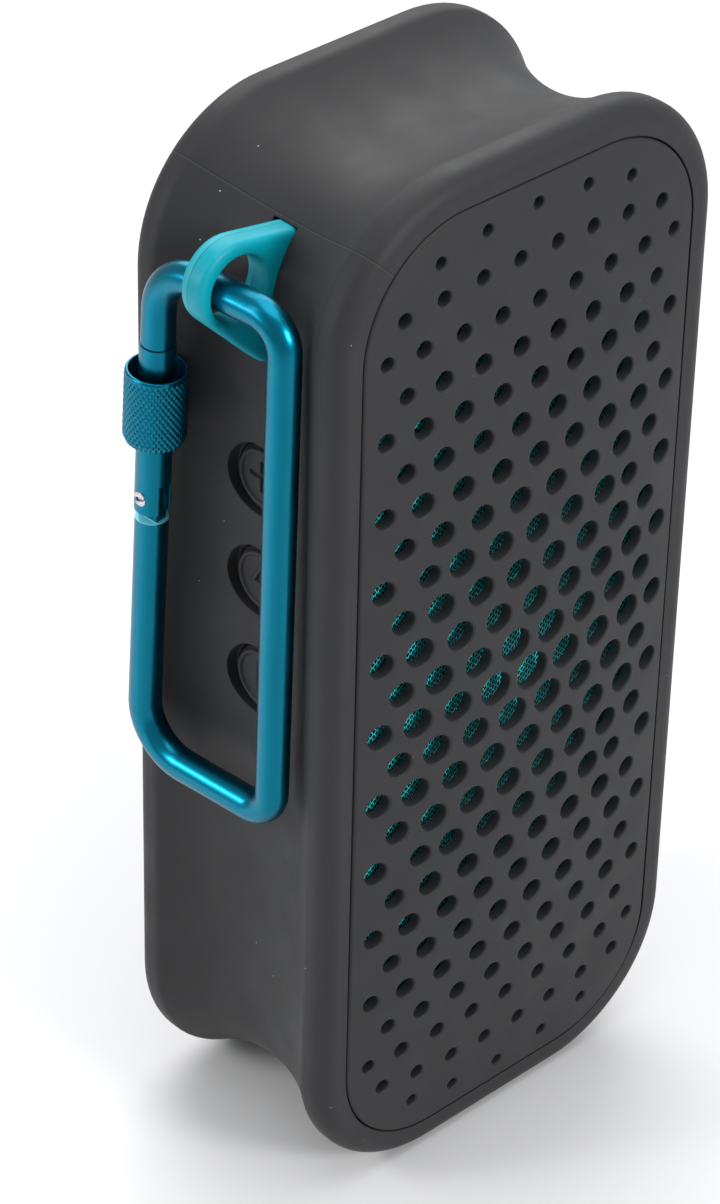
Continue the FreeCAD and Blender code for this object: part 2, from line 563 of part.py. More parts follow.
def make_driver(side, sign):
    """One full-range unit: its own Z axis points out through the grille from the baffle's front."""
    at = ("0", "-(Size.baffle_back + Size.baffle_wall)", "Size.body_height/2 + (%d)*Size.driver_rise" % sign)

    def place(body, label):
        return register(body, side + "_" + label, at, FORWARD)

    basket = turned(side + "Basket", [
        ("Size.flange_radius", "0"), ("Size.flange_radius", "Size.flange_wall"), ("19.6", "Size.flange_wall"),
        ("19.2", "0"), ("13.6", "-8"), ("Size.coil_radius + 0.4", "-8"), ("Size.coil_radius + 0.4", "-9"),
        ("14.4", "-9"), ("20.2", "0")])
    window = sketch(basket, side + "_window", "XY_Plane", "-1.5")
    circle(window, "2.4", "16.9", "0")
    hole = pocket(basket, window, "9", side + "_window_cut")
    polar(basket, hole, 8, side + "_windows")
    place(basket, "driver_basket")
    gap, front = "Size.coil_radius + 0.3", "-9 - Size.plate_wall"
    back = front + " - Size.magnet_wall"
    profiles = {
        "driver_top_plate": [(gap, "-9"), ("13", "-9"), ("13", front), (gap, front)],
        "driver_magnet": [("8", front), ("Size.magnet_radius", front),
                          ("Size.magnet_radius", back), ("8", back)],
        "driver_yoke": [("0", "-9"), ("Size.pole_radius", "-9"), ("Size.pole_radius", back), ("13.5", back),
                        ("13.5", back + " - 2"), ("0", back + " - 2")],
        "voice_coil": [("Size.coil_radius - 0.5", "-4.6"), ("Size.coil_radius", "-4.6"),
                       ("Size.coil_radius", "-12.4"), ("Size.coil_radius - 0.5", "-12.4")],
        "driver_cone": [("Size.coil_radius + 0.05", "-5.0"), ("17.2", "0.5"), ("17.2", "0"),
                        ("Size.coil_radius + 0.05", "-5.55")],
        "dust_cap": [("0", "-2.1"), ("3", "-2.4"), ("5.4", "-3.1"), ("7.2", "-4.4"),
                     ("6.3", "-4.4"), ("5.2", "-3.5"), ("3", "-2.8"), ("0", "-2.5")],
        "driver_spider": [("6.4", "-6.2"), ("7.6", "-5.9"), ("8.8", "-6.9"), ("10", "-6.1"),
                          ("11.2", "-7.2"), ("12.2", "-7.6"), ("13.3", "-7.6"), ("13.3", "-7.9"),
                          ("12", "-7.9"), ("11", "-7.5"), ("10", "-6.5"), ("8.8", "-7.3"),
                          ("7.6", "-6.3"), ("6.4", "-6.5")],
        "driver_surround": [("16.4", "1.0"), ("17.2", "1.0"), ("17.8", "1.9"), ("19", "2.4"),
                            ("20.2", "1.9"), ("20.8", "1.65"), ("23.6", "1.65"), ("23.6", "1.25"),
                            ("20.4", "1.25"), ("19.8", "1.6"), ("19", "2.0"), ("18.2", "1.6"),
                            ("17.5", "0.6"), ("16.4", "0.6")],
    }
    for label, points in profiles.items():
        place(turned(side + "_" + label + "_body", points), label)


def make_radiator():
    at = ("0", "-(Size.baffle_back + Size.baffle_wall)", "Size.body_height/2")
    width, height = "Size.radiator_width", "Size.radiator_height"
    frame = new_body("RadiatorFrame")
    flange = sketch(frame, "radiator_flange", "XY_Plane")
    rounded_rectangle(flange, width, height, height + "/2 - 0.5")
    rounded_rectangle(flange, width + " - 8", height + " - 8", height + "/2 - 4.5")
    pad(frame, flange, "Size.flange_wall", "radiator_flange_pad")
    skirt = sketch(frame, "radiator_skirt", "XY_Plane", "-5")
    rounded_rectangle(skirt, width + " - 5.6", height + " - 5.6", height + "/2 - 3.3")
    rounded_rectangle(skirt, width + " - 8", height + " - 8", height + "/2 - 4.5")
    pad(frame, skirt, "5.2", "radiator_skirt_pad")
    register(frame, "radiator_frame", at, FORWARD)
    surround = new_body("RadiatorSurround")
    ring = sketch(surround, "surround_ring", "XY_Plane", "Size.flange_wall + 0.05")
    rounded_rectangle(ring, width + " - 2", height + " - 2", height + "/2 - 1.5")
    rounded_rectangle(ring, width + " - 22", height + " - 22", height + "/2 - 11.5")
    pad(surround, ring, "0.5", "surround_skin")
    bead = sketch(surround, "surround_bead", "XY_Plane", "Size.flange_wall + 0.3")
    rounded_rectangle(bead, width + " - 10", height + " - 10", height + "/2 - 5.5")
    rounded_rectangle(bead, width + " - 17", height + " - 17", height + "/2 - 9")
    roll = pad(surround, bead, "1.2", "surround_roll")
    round_top(surround, roll, "surround_roll_round", 0.9)
    register(surround, "radiator_surround", at, FORWARD)
    plate = new_body("RadiatorPlate")
    disc = sketch(plate, "radiator_disc", "XY_Plane", "0")
    rounded_rectangle(disc, width + " - 19", height + " - 19", height + "/2 - 10")
    pad(plate, disc, "Size.flange_wall", "radiator_disc_pad")
    register(plate, "radiator_plate", at, FORWARD)
    weight = turned("RadiatorWeight", [("0", "0"), ("8", "0"), ("8", "-2.6"), ("7.4", "-3.2"), ("0", "-3.2")])
    register(weight, "radiator_weight", at, FORWARD)


def round_top(body, feature, name, radius):
    """Fillet the edges of a pad's own top face."""
    top = max(feature.Shape.Faces, key=lambda f: f.CenterOfMass.z)
    names = []
    for number, edge in enumerate(feature.Shape.Edges, 1):
        if any(edge.isSame(e) for e in top.Edges):
            names.append("Edge%d" % number)
    fillet = body.newObject("PartDesign::Fillet", name)
    fillet.Base = (feature, names)
    fillet.Radius = radius
    doc.recompute()
    return fillet


# ---------------------------------------------------------------- electronics
def make_main_board():
    body = new_body("MainBoard")
    drawing = sketch(body, "board_outline", "XZ_Plane", "-(Size.board_y + Size.board_wall)")
    rounded_rectangle(drawing, "Size.board_width", "Size.board_length", "2", "Size.board_x")
    pad(body, drawing, "Size.board_wall", "board_pad")
    holes = sketch(body, "board_holes", "XZ_Plane", "-(Size.board_y + Size.board_wall)")
    for sx, sz in ((1, 1), (-1, 1), (-1, -1), (1, -1)):
        circle(holes, "1.2", "Size.board_x + %d*10.5" % sx, "%d*29" % sz)
    pocket(body, holes, "Size.board_wall", "board_hole_cuts", flip=True)
    return register(body, "main_board", ("0", "0", "Size.body_height/2"))


def block_group(label, blocks):
    """Separate small blocks standing on the board's front face: (x, rise, width, height, thickness)."""
    parts = []
    for number, (x, rise, width, height, thick) in enumerate(blocks):
        item = doc.addObject("Part::Box", "%s_%d" % (label, number + 1))
        item.Length, item.Width, item.Height = width, thick, height
        bind(item, "Placement.Base.x", "Size.board_x + (%s)" % (x - width / 2))
        bind(item, "Placement.Base.y", "Size.board_y - %s" % thick)
        bind(item, "Placement.Base.z", "Size.body_height/2 + (%s)" % (rise - height / 2))
        parts.append(item)
    group = doc.addObject("Part::Compound", label)
    group.Links = parts
    doc.recompute()
    return register(group, label)


def make_charging_port():
    body = new_body("ChargingPort")
    start = "30.3 - Size.port_length"
    outer = sketch(body, "port_outline", "YZ_Plane", start)
    rounded_rectangle(outer, "Size.port_wall", "Size.port_width", "1.5")
    pad(body, outer, "Size.port_length", "port_shell")
    inner = sketch(body, "port_mouth", "YZ_Plane", start + " + 1.2")
    rounded_rectangle(inner, "Size.port_wall - 0.6", "Size.port_width - 0.6", "1.2")
    pocket(body, inner, "Size.port_length", "port_hollow", flip=True)
    tongue = sketch(body, "port_tongue", "YZ_Plane", start + " + 0.6")
    rounded_rectangle(tongue, "0.7", "6.6", "0.2")
    pad(body, tongue, "5.4", "port_tongue_pad")
    return register(body, "charging_port", ("0", "Size.port_y", "Size.body_height/2 + Size.port_rise"))


def make_port_cover():
    """Rubber flap in its recess, with a shallow plug that reaches into the port hole."""
    body = new_body("PortCover")
    flap = sketch(body, "flap_outline", "YZ_Plane", "32.25")
    rounded_rectangle(flap, "Size.port_cover_height", "Size.port_cover_width", "1.6")
    pad(body, flap, "Size.port_cover_wall", "flap_pad")
    plug = sketch(body, "flap_plug", "YZ_Plane", "31.6")
    rounded_rectangle(plug, "2.6", "8", "1.2")
    pad(body, plug, "0.8", "flap_plug_pad")
    grip = sketch(body, "flap_grip", "YZ_Plane", "32.25 + Size.port_cover_wall")
    rounded_rectangle(grip, "4", "1", "0.4", "0", "-5")
    pad(body, grip, "0.5", "flap_grip_pad")
    return register(body, "port_cover", ("0", "Size.port_y", "Size.body_height/2 + Size.port_rise"))


def make_light_pipe():
    body = turned("LightPipe", [("0", "0"), ("0.8", "0"), ("0.8", "3.4"), ("0", "3.4")])
    rotation = FreeCAD.Rotation(Vec(0, 1, 0), 90)
    at = ("29.9", "Size.port_y", "Size.body_height/2 + Size.port_rise + 13")
    return register(body, "charge_light_pipe", at, rotation)


def make_battery():
    cell_body = turned("BatteryCell", [
        ("0", "0"), ("Size.cell_radius - 0.5", "0"), ("Size.cell_radius", "0.5"),
        ("Size.cell_radius", "Size.cell_length - 1.5"), ("Size.cell_radius - 0.8", "Size.cell_length - 0.8"),
        ("3.2", "Size.cell_length - 0.8"), ("2.9", "Size.cell_length"), ("0", "Size.cell_length")])
    register(cell_body, "battery_cell",
             ("Size.cell_x", "Size.cell_y", "Size.body_height/2 - Size.cell_length/2"))
    cradle = new_body("BatteryCradle")
    outline = sketch(cradle, "cradle_outline", "XY_Plane", "-26")
    back = "Size.body_depth/2 - Size.cover_wall - Size.cell_y"
    polygon(outline, [("-11", "-2"), ("-11", back), ("11", back), ("11", "-2")])
    pad(cradle, outline, "52", "cradle_block")
    hollow = sketch(cradle, "cradle_hollow", "XY_Plane", "-26")
    circle(hollow, "Size.cell_radius + 0.15")
    pocket(cradle, hollow, "60", "cradle_bore", flip=True)
    return register(cradle, "battery_cradle", ("Size.cell_x", "Size.cell_y", "Size.body_height/2"))


def routed_cable(label, points, radius, bends):
    """Round lead along straight runs joined by tangent arcs; its volume is checked."""
    points = [Vec(*p) for p in points]
    edges, start = [], points[0]
    for before, corner, after, bend in zip(points, points[1:], points[2:], bends):
        u, v = (before - corner).normalize(), (after - corner).normalize()
        half = u.getAngle(v) / 2
        reach = bend / math.tan(half)
        first, last = corner + u * reach, corner + v * reach
        middle = corner + (u + v).normalize() * (bend / math.sin(half) - bend)
        edges.append(Part.LineSegment(start, first).toShape())
        edges.append(Part.Arc(first, middle, last).toShape())
        start = last
    edges.append(Part.LineSegment(start, points[-1]).toShape())
    path = Part.Wire(edges)
    section = Part.Wire(Part.Circle(points[0], points[1] - points[0], radius).toShape())
    tube = path.makePipeShell([section], True, True)
    expected = math.pi * radius ** 2 * path.Length
    print("%s: bend radii %s, volume %.2f of %.2f" % (label, bends, tube.Volume, expected))
    if abs(tube.Volume - expected) > 0.02 * expected:
        raise RuntimeError(label + " did not sweep cleanly")
    return shaped(label, tube)


def make_cables():
    """Leads run from the drivers, the cell and the button board to the sockets on the main board."""
    mid = cell("body_height") / 2
    for side, sign in (("upper", 1), ("lower", -1)):
        route = [(12.4, -12.5, mid + sign * 37.6), (17.0, -12.5, mid + sign * 33.0),
                 (17.0, -9.5, mid + sign * 27.0), (17.0, -5.8, mid + sign * 24.6),
                 (17.0, -1.3, mid + sign * 24.6)]
        routed_cable(side + "_speaker_lead", route, 0.35, [2.6, 2.8, 2.4])
    routed_cable("battery_lead", [(-12.0, 9.5, mid + 32.6), (-12.0, 9.5, mid + 37.6), (-4.0, 6.5, mid + 37.6),
                                  (3.0, -6.4, mid + 30.5), (7.0, -6.4, mid + 24.6), (7.0, -1.3, mid + 24.6)],
                 0.35, [2.2, 3.6, 3.0, 2.2])
    routed_cable("button_lead", [(-24.4, 0.0, mid - 4.6), (-18.5, 0.0, mid - 4.6), (-14.0, -6.2, mid - 7.0),
                                 (-2.0, -6.2, mid - 8.0), (7.0, -6.2, mid - 15.0), (7.0, -1.3, mid - 15.0)],
                 0.35, [3.0, 4.0, 5.0, 2.2])


# ---------------------------------------------------------------- buttons
def cap_body(name):
    """Cap turned about its own Z axis, which points out of the side wall."""
    return turned(name, [
        ("0", "-0.6"), ("1.2", "-0.6"), ("1.2", "0"), ("Size.cap_flange", "0"), ("Size.cap_flange", "0.8"),
        ("Size.cap_radius", "0.8"), ("Size.cap_radius", "3.2"), ("Size.cap_radius - 0.5", "3.7"),
        ("0", "3.45")])


def make_buttons():
    end, lo, hi = "2.7", "-0.5", "0.5"
    far = "-" + end
    labels = ("volume_down_button", "play_button", "volume_up_button")
    for step, label in enumerate(labels):
        body = cap_body("Cap%d" % (step + 1))
        if label == "play_button":
            mark = sketch(body, "play_mark", "XY_Plane", "3.3")
            polygon(mark, [("-3.1", "0"), ("1.9", "2.9"), ("1.9", "-2.9")])
            polygon(mark, [("-1.8", "0"), ("1.3", "1.8"), ("1.3", "-1.8")])
            pad(body, mark, "0.55", "play_mark_pad")
        else:
            mark = sketch(body, label + "_mark", "XY_Plane", "3.2")
            if label == "volume_up_button":
                polygon(mark, [(far, lo), (lo, lo), (lo, far), (hi, far), (hi, lo), (end, lo),
                               (end, hi), (hi, hi), (hi, end), (lo, end), (lo, hi), (far, hi)])
            else:
                polygon(mark, [(far, lo), (end, lo), (end, hi), (far, hi)])
            pocket(body, mark, "1.5", label + "_mark_cut", flip=True)
        rise = "Size.body_height/2 + %d*Size.button_pitch" % step
        register(body, label, ("-(Size.cavity_width/2 - 0.85)", "0", rise), OUTWARD)


def make_button_board():
    body = new_body("ButtonBoard")
    outline = sketch(body, "button_board_outline", "YZ_Plane", "-25.8")
    rounded_rectangle(outline, "Size.button_board_width", "Size.button_board_length", "1.5", "0",
                      "Size.button_pitch")
    pad(body, outline, "Size.button_board_wall", "button_board_pad")
    holes = sketch(body, "button_board_holes", "YZ_Plane", "-25.8")
    circle(holes, "0.9", "0", "Size.button_pitch/2")
    circle(holes, "0.9", "0", "1.5*Size.button_pitch")
    pocket(body, holes, "Size.button_board_wall", "button_board_hole_cuts", flip=True)
    register(body, "button_board", ("0", "0", "Size.body_height/2"))
    parts = []
    for step in range(3):
        base = doc.addObject("Part::Box", "SwitchBase%d" % (step + 1))
        base.Length, base.Width, base.Height = 2.1, 6.0, 6.0
        stem = doc.addObject("Part::Cylinder", "SwitchStem%d" % (step + 1))
        stem.Radius, stem.Height = 1.6, 0.7
        stem.Placement = FreeCAD.Placement(Vec(-28.5, 0, 0), FreeCAD.Rotation(Vec(0, 1, 0), 90))
        bind(base, "Placement.Base.x", "-27.9")
        bind(base, "Placement.Base.y", "-3")
        bind(base, "Placement.Base.z", "Size.body_height/2 + %d*Size.button_pitch - 3" % step)
        bind(stem, "Placement.Base.z", "Size.body_height/2 + %d*Size.button_pitch" % step)
        joined = doc.addObject("Part::Fuse", "Switch%d" % (step + 1))
        joined.Base, joined.Tool = base, stem
        parts.append(joined)
    group = doc.addObject("Part::Compound", "TactSwitches")
    group.Links = parts
    doc.recompute()
    register(group, "tact_switches")


# ---------------------------------------------------------------- carry loop and carabiner
def make_carry_loop():
    mid = cell("body_height") / 2
    thick = cell("loop_wall")
    face = loop_outline(0.0, -33.3)
    face.translate(Vec(0, -thick / 2, 0))
    tab = face.extrude(Vec(0, thick, 0))
    eye_x, eye_z = cell("loop_eye_x"), mid + cell("loop_eye_rise")
    tab = tab.cut(cylinder(cell("loop_eye"), thick + 2, (eye_x, -thick / 2 - 1, eye_z), (0, 1, 0)))
    soft = []
    for edge in tab.Edges:
        flat = abs(abs(edge.BoundBox.YMin) - thick / 2) < 1e-6 and edge.BoundBox.YLength < 1e-6
        if flat and edge.BoundBox.XMin < -36:
            soft.append(edge)
    tab = tab.makeFillet(cell("loop_edge"), soft)
    places = [(-30.3, 149.0), (-30.3, 155.6), (-26.6, 164.2), (-23.6, 162.4), (-26.0, 155.4), (-26.6, 149.0)]
    root = [Vec(x, -4.6, z) for x, z in places + places[:1]]
    anchor = Part.Face(Part.Wire(Part.makePolygon(root))).extrude(Vec(0, 9.2, 0))
    px, pz = loop_pin_place()
    loop = tab.fuse(anchor).cut(cylinder(1.25, 24, (px, -12, pz), (0, 1, 0)))
    return shaped("carry_loop", loop.removeSplitter())


def carabiner_turn():
    return FreeCAD.Rotation(Vec(0, 0, 1), cell("carabiner_yaw"))


def gate_turn():
    """Yaw of the carabiner's plane, then the lean of its back leg within that plane."""
    return carabiner_turn().multiply(FreeCAD.Rotation(Vec(1, 0, 0), cell("gate_lean")))


def on_carabiner(item, label):
    """Place a piece drawn in the carabiner's own frame: x across, y along the bars, z up from the floor."""
    return register(item, label, ("Size.carabiner_x", "0", "0"), carabiner_turn())


def on_gate(item, label, rotation=None):
    """Place a piece drawn from the gate's pivot, with its Z axis along the gate."""
    at = ("Size.carabiner_x - Size.pivot_y*sin(Size.carabiner_yaw*1deg)",
          "Size.pivot_y*cos(Size.carabiner_yaw*1deg)", "Size.body_height/2 + Size.pivot_rise")
    turned_by = gate_turn() if rotation is None else gate_turn().multiply(rotation)
    return register(item, label, at, turned_by)


def gate_point(along):
    """Point of the back leg's centreline, measured along the gate, in the carabiner's frame."""
    lean = math.radians(cell("gate_lean"))
    pivot = Vec(0, cell("pivot_y"), cell("body_height") / 2 + cell("pivot_rise"))
    return pivot + Vec(0, -math.sin(lean), math.cos(lean)) * along


def back_leg_at(height):
    """Where the back leg's leaning centreline crosses a height."""
    pivot_height = cell("body_height") / 2 + cell("pivot_rise")
    return gate_point((height - pivot_height) / math.cos(math.radians(cell("gate_lean"))))


def carabiner_path():
    """Corners of the bent rod, from the nose round the frame to the hinge shelf, with bend radii."""
    mid = cell("body_height") / 2
    top, low = mid + cell("bar_top_rise"), mid + cell("bar_low_rise")
    corners = [gate_point(cell("gate_top")), back_leg_at(top), Vec(0, cell("front_top_y"), top),
               Vec(0, cell("front_low_y"), low), back_leg_at(low), gate_point(cell("shelf"))]
    return corners, [cell("bend_" + place) for place in ("top_back", "top_front", "low_front", "low_back")]


def swept_rod(corners, bends, radius):
    edges, start = [], corners[0]
    for before, corner, after, bend in zip(corners, corners[1:], corners[2:], bends):
        u, v = (before - corner).normalize(), (after - corner).normalize()
        half = u.getAngle(v) / 2
        reach = bend / math.tan(half)
        first, last = corner + u * reach, corner + v * reach
        middle = corner + (u + v).normalize() * (bend / math.sin(half) - bend)
        edges.append(Part.LineSegment(start, first).toShape())
        edges.append(Part.Arc(first, middle, last).toShape())
        start = last
    edges.append(Part.LineSegment(start, corners[-1]).toShape())
    path = Part.Wire(edges)
    section = Part.Wire(Part.Circle(corners[0], corners[1] - corners[0], radius).toShape())
    return path.makePipeShell([section], True, True)


def make_carabiner_frame():
    corners, bends = carabiner_path()
    rod = swept_rod(corners, bends, cell("rod_radius"))
    half_tongue = cell("tongue_wall") / 2
    # both blades are drawn from the pivot along the leg, then leaned with it
    key = box(-0.9, 0.9, -1.5, 2.0, cell("key_tip"), cell("gate_top") + 1.0)
    tongue = box(-half_tongue, half_tongue, -1.9, 1.9, cell("shelf") - 1.0, 0)
    tongue = tongue.fuse(cylinder(1.9, 2 * half_tongue, (-half_tongue, 0, 0), (1, 0, 0)))
    bore = cylinder(cell("hinge_pin") + 0.05, 12, (-6, 0, 0), (1, 0, 0))
    lean = FreeCAD.Placement(gate_point(0), FreeCAD.Rotation(Vec(1, 0, 0), cell("gate_lean")))
    for tool in (key, tongue, bore):
        tool.Placement = lean
    item = doc.addObject("Part::Feature", "CarabinerFrame")
    item.Shape = rod.fuse([key, tongue]).cut(bore).removeSplitter()
    return on_carabiner(item, "carabiner_frame")


def bound_primitive(kind, name, sizes, base):
    """Part primitive with its sizes and base point bound to the sheet."""
    item = doc.addObject(kind, name)
    for prop, expression in sizes.items():
        bind(item, prop, expression)
    for axis, expression in zip("xyz", base):
        bind(item, "Placement.Base." + axis, expression)
    return item


def make_gate():
    """Gate rod with a slot over the frame's tongue below and one that takes its key above."""
    rod = bound_primitive("Part::Cylinder", "GateRod", {
        "Radius": "Size.gate_radius", "Height": "Size.gate_top - 0.15 - Size.gate_foot"},
        ("0", "0", "Size.gate_foot"))
    slot = bound_primitive("Part::Box", "GateFootSlot", {
        "Length": "Size.tongue_wall + 0.3", "Width": "8", "Height": "3.4 - Size.gate_foot"},
        ("-Size.tongue_wall/2 - 0.15", "-4", "Size.gate_foot - 1"))
    mouth = bound_primitive("Part::Box", "GateMouthSlot", {
        "Length": "2.1", "Width": "8", "Height": "Size.gate_top - Size.key_tip + 1"},
        ("-1.05", "-1.7", "Size.key_tip - 0.3"))
    well = bound_primitive("Part::Cylinder", "GateSpringWell",
                           {"Radius": "0.75", "Height": "9"}, ("0", "0", "2"))
    bore = doc.addObject("Part::Cylinder", "GatePinBore")
    bind(bore, "Radius", "Size.hinge_pin + 0.05")
    bore.Height = 12.0
    bore.Placement = FreeCAD.Placement(Vec(-6, 0, 0), FreeCAD.Rotation(Vec(0, 1, 0), 90))
    tools = doc.addObject("Part::MultiFuse", "GateCuts")
    tools.Shapes = [slot, mouth, bore, well]
    gate = doc.addObject("Part::Cut", "Gate")
    gate.Base, gate.Tool = rod, tools
    doc.recompute()
    on_gate(gate, "carabiner_gate")
    spring = turned("GateSpring", [("0.35", "5.0"), ("0.65", "5.0"), ("0.65", "10.9"), ("0.35", "10.9")])
    on_gate(spring, "gate_spring")
    plunger = turned("GatePlunger", [("0", "2.0"), ("0.65", "2.5"), ("0.65", "4.9"), ("0", "4.9")])
    on_gate(plunger, "gate_plunger")
    pin = turned("GatePin", [("0", "-2.95"), ("1.2", "-2.95"), ("1.2", "-2.78"), ("Size.hinge_pin", "-2.72"),
                             ("Size.hinge_pin", "2.72"), ("1.2", "2.78"), ("1.2", "2.95"), ("0", "2.95")])
    on_gate(pin, "gate_pivot_pin", FreeCAD.Rotation(Vec(0, 1, 0), 90))


def make_lock_sleeve():
    """Knurled collar: plain bore below, open recess above, chamfered rims."""
    foot, top = "Size.sleeve_foot", "Size.sleeve_foot + Size.sleeve_length"
    step = top + " - Size.sleeve_recess_depth"
    body = turned("LockSleeve", [
        ("Size.sleeve_bore", foot + " + 0.4"), ("Size.sleeve_bore + 0.4", foot),
        ("Size.sleeve_radius - 0.5", foot), ("Size.sleeve_radius", foot + " + 0.5"),
        ("Size.sleeve_radius", top + " - 0.4"), ("Size.sleeve_radius - 0.35", top),
        ("Size.sleeve_recess + 0.1", top), ("Size.sleeve_recess", top + " - 0.3"),
        ("Size.sleeve_recess", step), ("Size.sleeve_bore", step + " - 0.6")])
    return on_gate(body, "lock_sleeve")


# ---------------------------------------------------------------- fasteners
def screw_shape(head, head_height, shank, length):
    """Cross-recess screw along +Z: head from 0 up, shank from 0 down."""
    corners = [(0, head_height), (head * 0.8, head_height), (head, head_height * 0.5), (head, 0), (shank, 0),
               (shank, 0.6 - length), (0, -length), (0, head_height)]
    profile = Part.makePolygon([Vec(radius, 0, z) for radius, z in corners])
    blank = Part.Face(profile).revolve(Vec(0, 0, 0), Vec(0, 0, 1), 360)
    reach, half_slot, floor = head * 0.55, head * 0.14, head_height * 0.45
    cross = [box(-reach, reach, -half_slot, half_slot, floor, head_height + 1),
             box(-half_slot, half_slot, -reach, reach, floor, head_height + 1)]
    return blank.cut(cross)


def screw_group(label, shape, places, axis):
    rotation = FreeCAD.Rotation(Vec(0, 0, 1), Vec(*axis))
    copies = []
    for place in places:
        screw = shape.copy()
        screw.Placement = FreeCAD.Placement(Vec(*place), rotation)
        copies.append(screw)
    return shaped(label, Part.makeCompound(copies))


def make_fasteners():
    half, mid = cell("body_depth") / 2, cell("body_height") / 2
    head, shank = cell("screw_head"), cell("screw_shank")
    screw_group("cover_screws", screw_shape(head, 1.1, shank, 8.0),
                [(x, half - 1.3, z) for x, z in boss_places()], (0, 1, 0))
    front = -(cell("baffle_back") + cell("baffle_wall"))
    screw_group("baffle_screws", screw_shape(head, 1.1, shank, 8.0),
                [(x, front, z) for x, z in boss_places()], (0, -1, 0))
    board_x, board_y = cell("board_x"), cell("board_y")
    board_places = [(board_x + sx * 10.5, board_y, mid + sz * 29) for sx in (1, -1) for sz in (1, -1)]
    screw_group("board_screws", screw_shape(1.9, 1.1, 0.95, 6.5), board_places, (0, -1, 0))
    screw_group("button_board_screws", screw_shape(1.5, 0.9, 0.7, 4.5),
                [(-24.6, 0, z) for z in button_post_heights()], (1, 0, 0))
    px, pz = loop_pin_place()
    shaped("loop_anchor_pin", cylinder(1.2, 16.0, (px, -8.0, pz), (0, 1, 0)))


# ---------------------------------------------------------------- assembly
def build_all():
    make_main_shell()
    make_front_grille()
    make_grille_cloth()
    make_front_baffle()
    make_rear_cover()
    make_cover_gasket()
    make_driver("upper", 1)
    make_driver("lower", -1)
    make_radiator()
    make_main_board()
    block_group("bluetooth_module", [(-4.0, 9.0, 12.0, 15.0, 2.2)])
    block_group("amplifier_chip", [(-4.0, -8.0, 7.0, 7.0, 1.2)])
    block_group("board_capacitors", [(8.5, 6.0, 4.0, 4.0, 4.6), (8.5, 0.0, 4.0, 4.0, 4.6),
                                     (5.5, -8.0, 5.0, 5.0, 2.6)])
    block_group("lead_sockets", [(3.0, 24.6, 6.0, 4.0, 3.2), (3.0, -24.6, 6.0, 4.0, 3.2),
                                 (-7.0, 24.6, 6.0, 4.0, 3.2), (-7.0, -15.0, 6.0, 4.0, 3.2)])
    make_charging_port()
    make_port_cover()
    make_light_pipe()
    make_battery()
    make_cables()
    make_buttons()
    make_button_board()
    make_carry_loop()
    make_carabiner_frame()
    make_gate()
    make_lock_sleeve()
    make_fasteners()


def check_and_export():
    doc.recompute()
    problems = [o.Name for o in doc.Objects if "Invalid" in o.State or "Error" in o.State]
    for label, item in NODES.items():
        if item.Shape.isNull() or not item.Shape.isValid():
            problems.append(label)
    if problems:
        raise RuntimeError("not sound: " + ", ".join(problems))
    os.makedirs("parts", exist_ok=True)
    whole = FreeCAD.BoundBox()
    for label, item in NODES.items():
        item.Shape.exportStep("parts/%s.step" % label)
        whole.add(item.Shape.BoundBox)
        print("%-22s solids %d volume %.2f" % (label, len(item.Shape.Solids), item.Shape.Volume))
    print(len(NODES), "nodes; box", whole)


build_all()
check_and_export()
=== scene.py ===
import json
import math

import bpy
import numpy as np
from mathutils import Matrix, Vector
from mathutils.geometry import delaunay_2d_cdt


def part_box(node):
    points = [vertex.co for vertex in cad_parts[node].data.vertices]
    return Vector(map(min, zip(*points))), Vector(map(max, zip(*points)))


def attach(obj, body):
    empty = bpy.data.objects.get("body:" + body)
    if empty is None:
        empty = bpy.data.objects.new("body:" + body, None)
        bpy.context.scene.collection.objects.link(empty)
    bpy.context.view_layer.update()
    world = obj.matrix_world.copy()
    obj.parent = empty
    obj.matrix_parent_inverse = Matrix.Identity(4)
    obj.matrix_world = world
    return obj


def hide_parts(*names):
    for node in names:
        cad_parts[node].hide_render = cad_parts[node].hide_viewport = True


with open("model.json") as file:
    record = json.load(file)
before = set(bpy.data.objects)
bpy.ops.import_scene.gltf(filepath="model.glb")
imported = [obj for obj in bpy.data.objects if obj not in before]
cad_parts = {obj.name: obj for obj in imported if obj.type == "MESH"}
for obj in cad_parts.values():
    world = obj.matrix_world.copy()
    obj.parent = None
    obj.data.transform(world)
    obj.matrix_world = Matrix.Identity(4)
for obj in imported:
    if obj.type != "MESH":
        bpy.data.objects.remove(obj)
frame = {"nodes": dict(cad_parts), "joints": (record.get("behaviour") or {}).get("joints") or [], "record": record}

# Portable speaker with a silicone loop and a screw-lock carabiner, on a white floor.
# Everything is in metres in the part's frame: the grille faces -Y and the carabiner hangs at -X.

MM = 0.001
NODES = frame["nodes"]
JOINTS = {j["name"]: j for j in frame["joints"]}
SHELL_LOW, SHELL_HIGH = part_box("main_shell")
CENTRE = (SHELL_LOW + SHELL_HIGH) / 2
HALF_WIDTH = (SHELL_HIGH.x - SHELL_LOW.x) / 2
HALF_HEIGHT = (SHELL_HIGH.z - SHELL_LOW.z) / 2
CORNER = 24.5 * MM
CUT_DROP = 4.3 * MM  # the frame's cut face lies this far below the gate's pivot


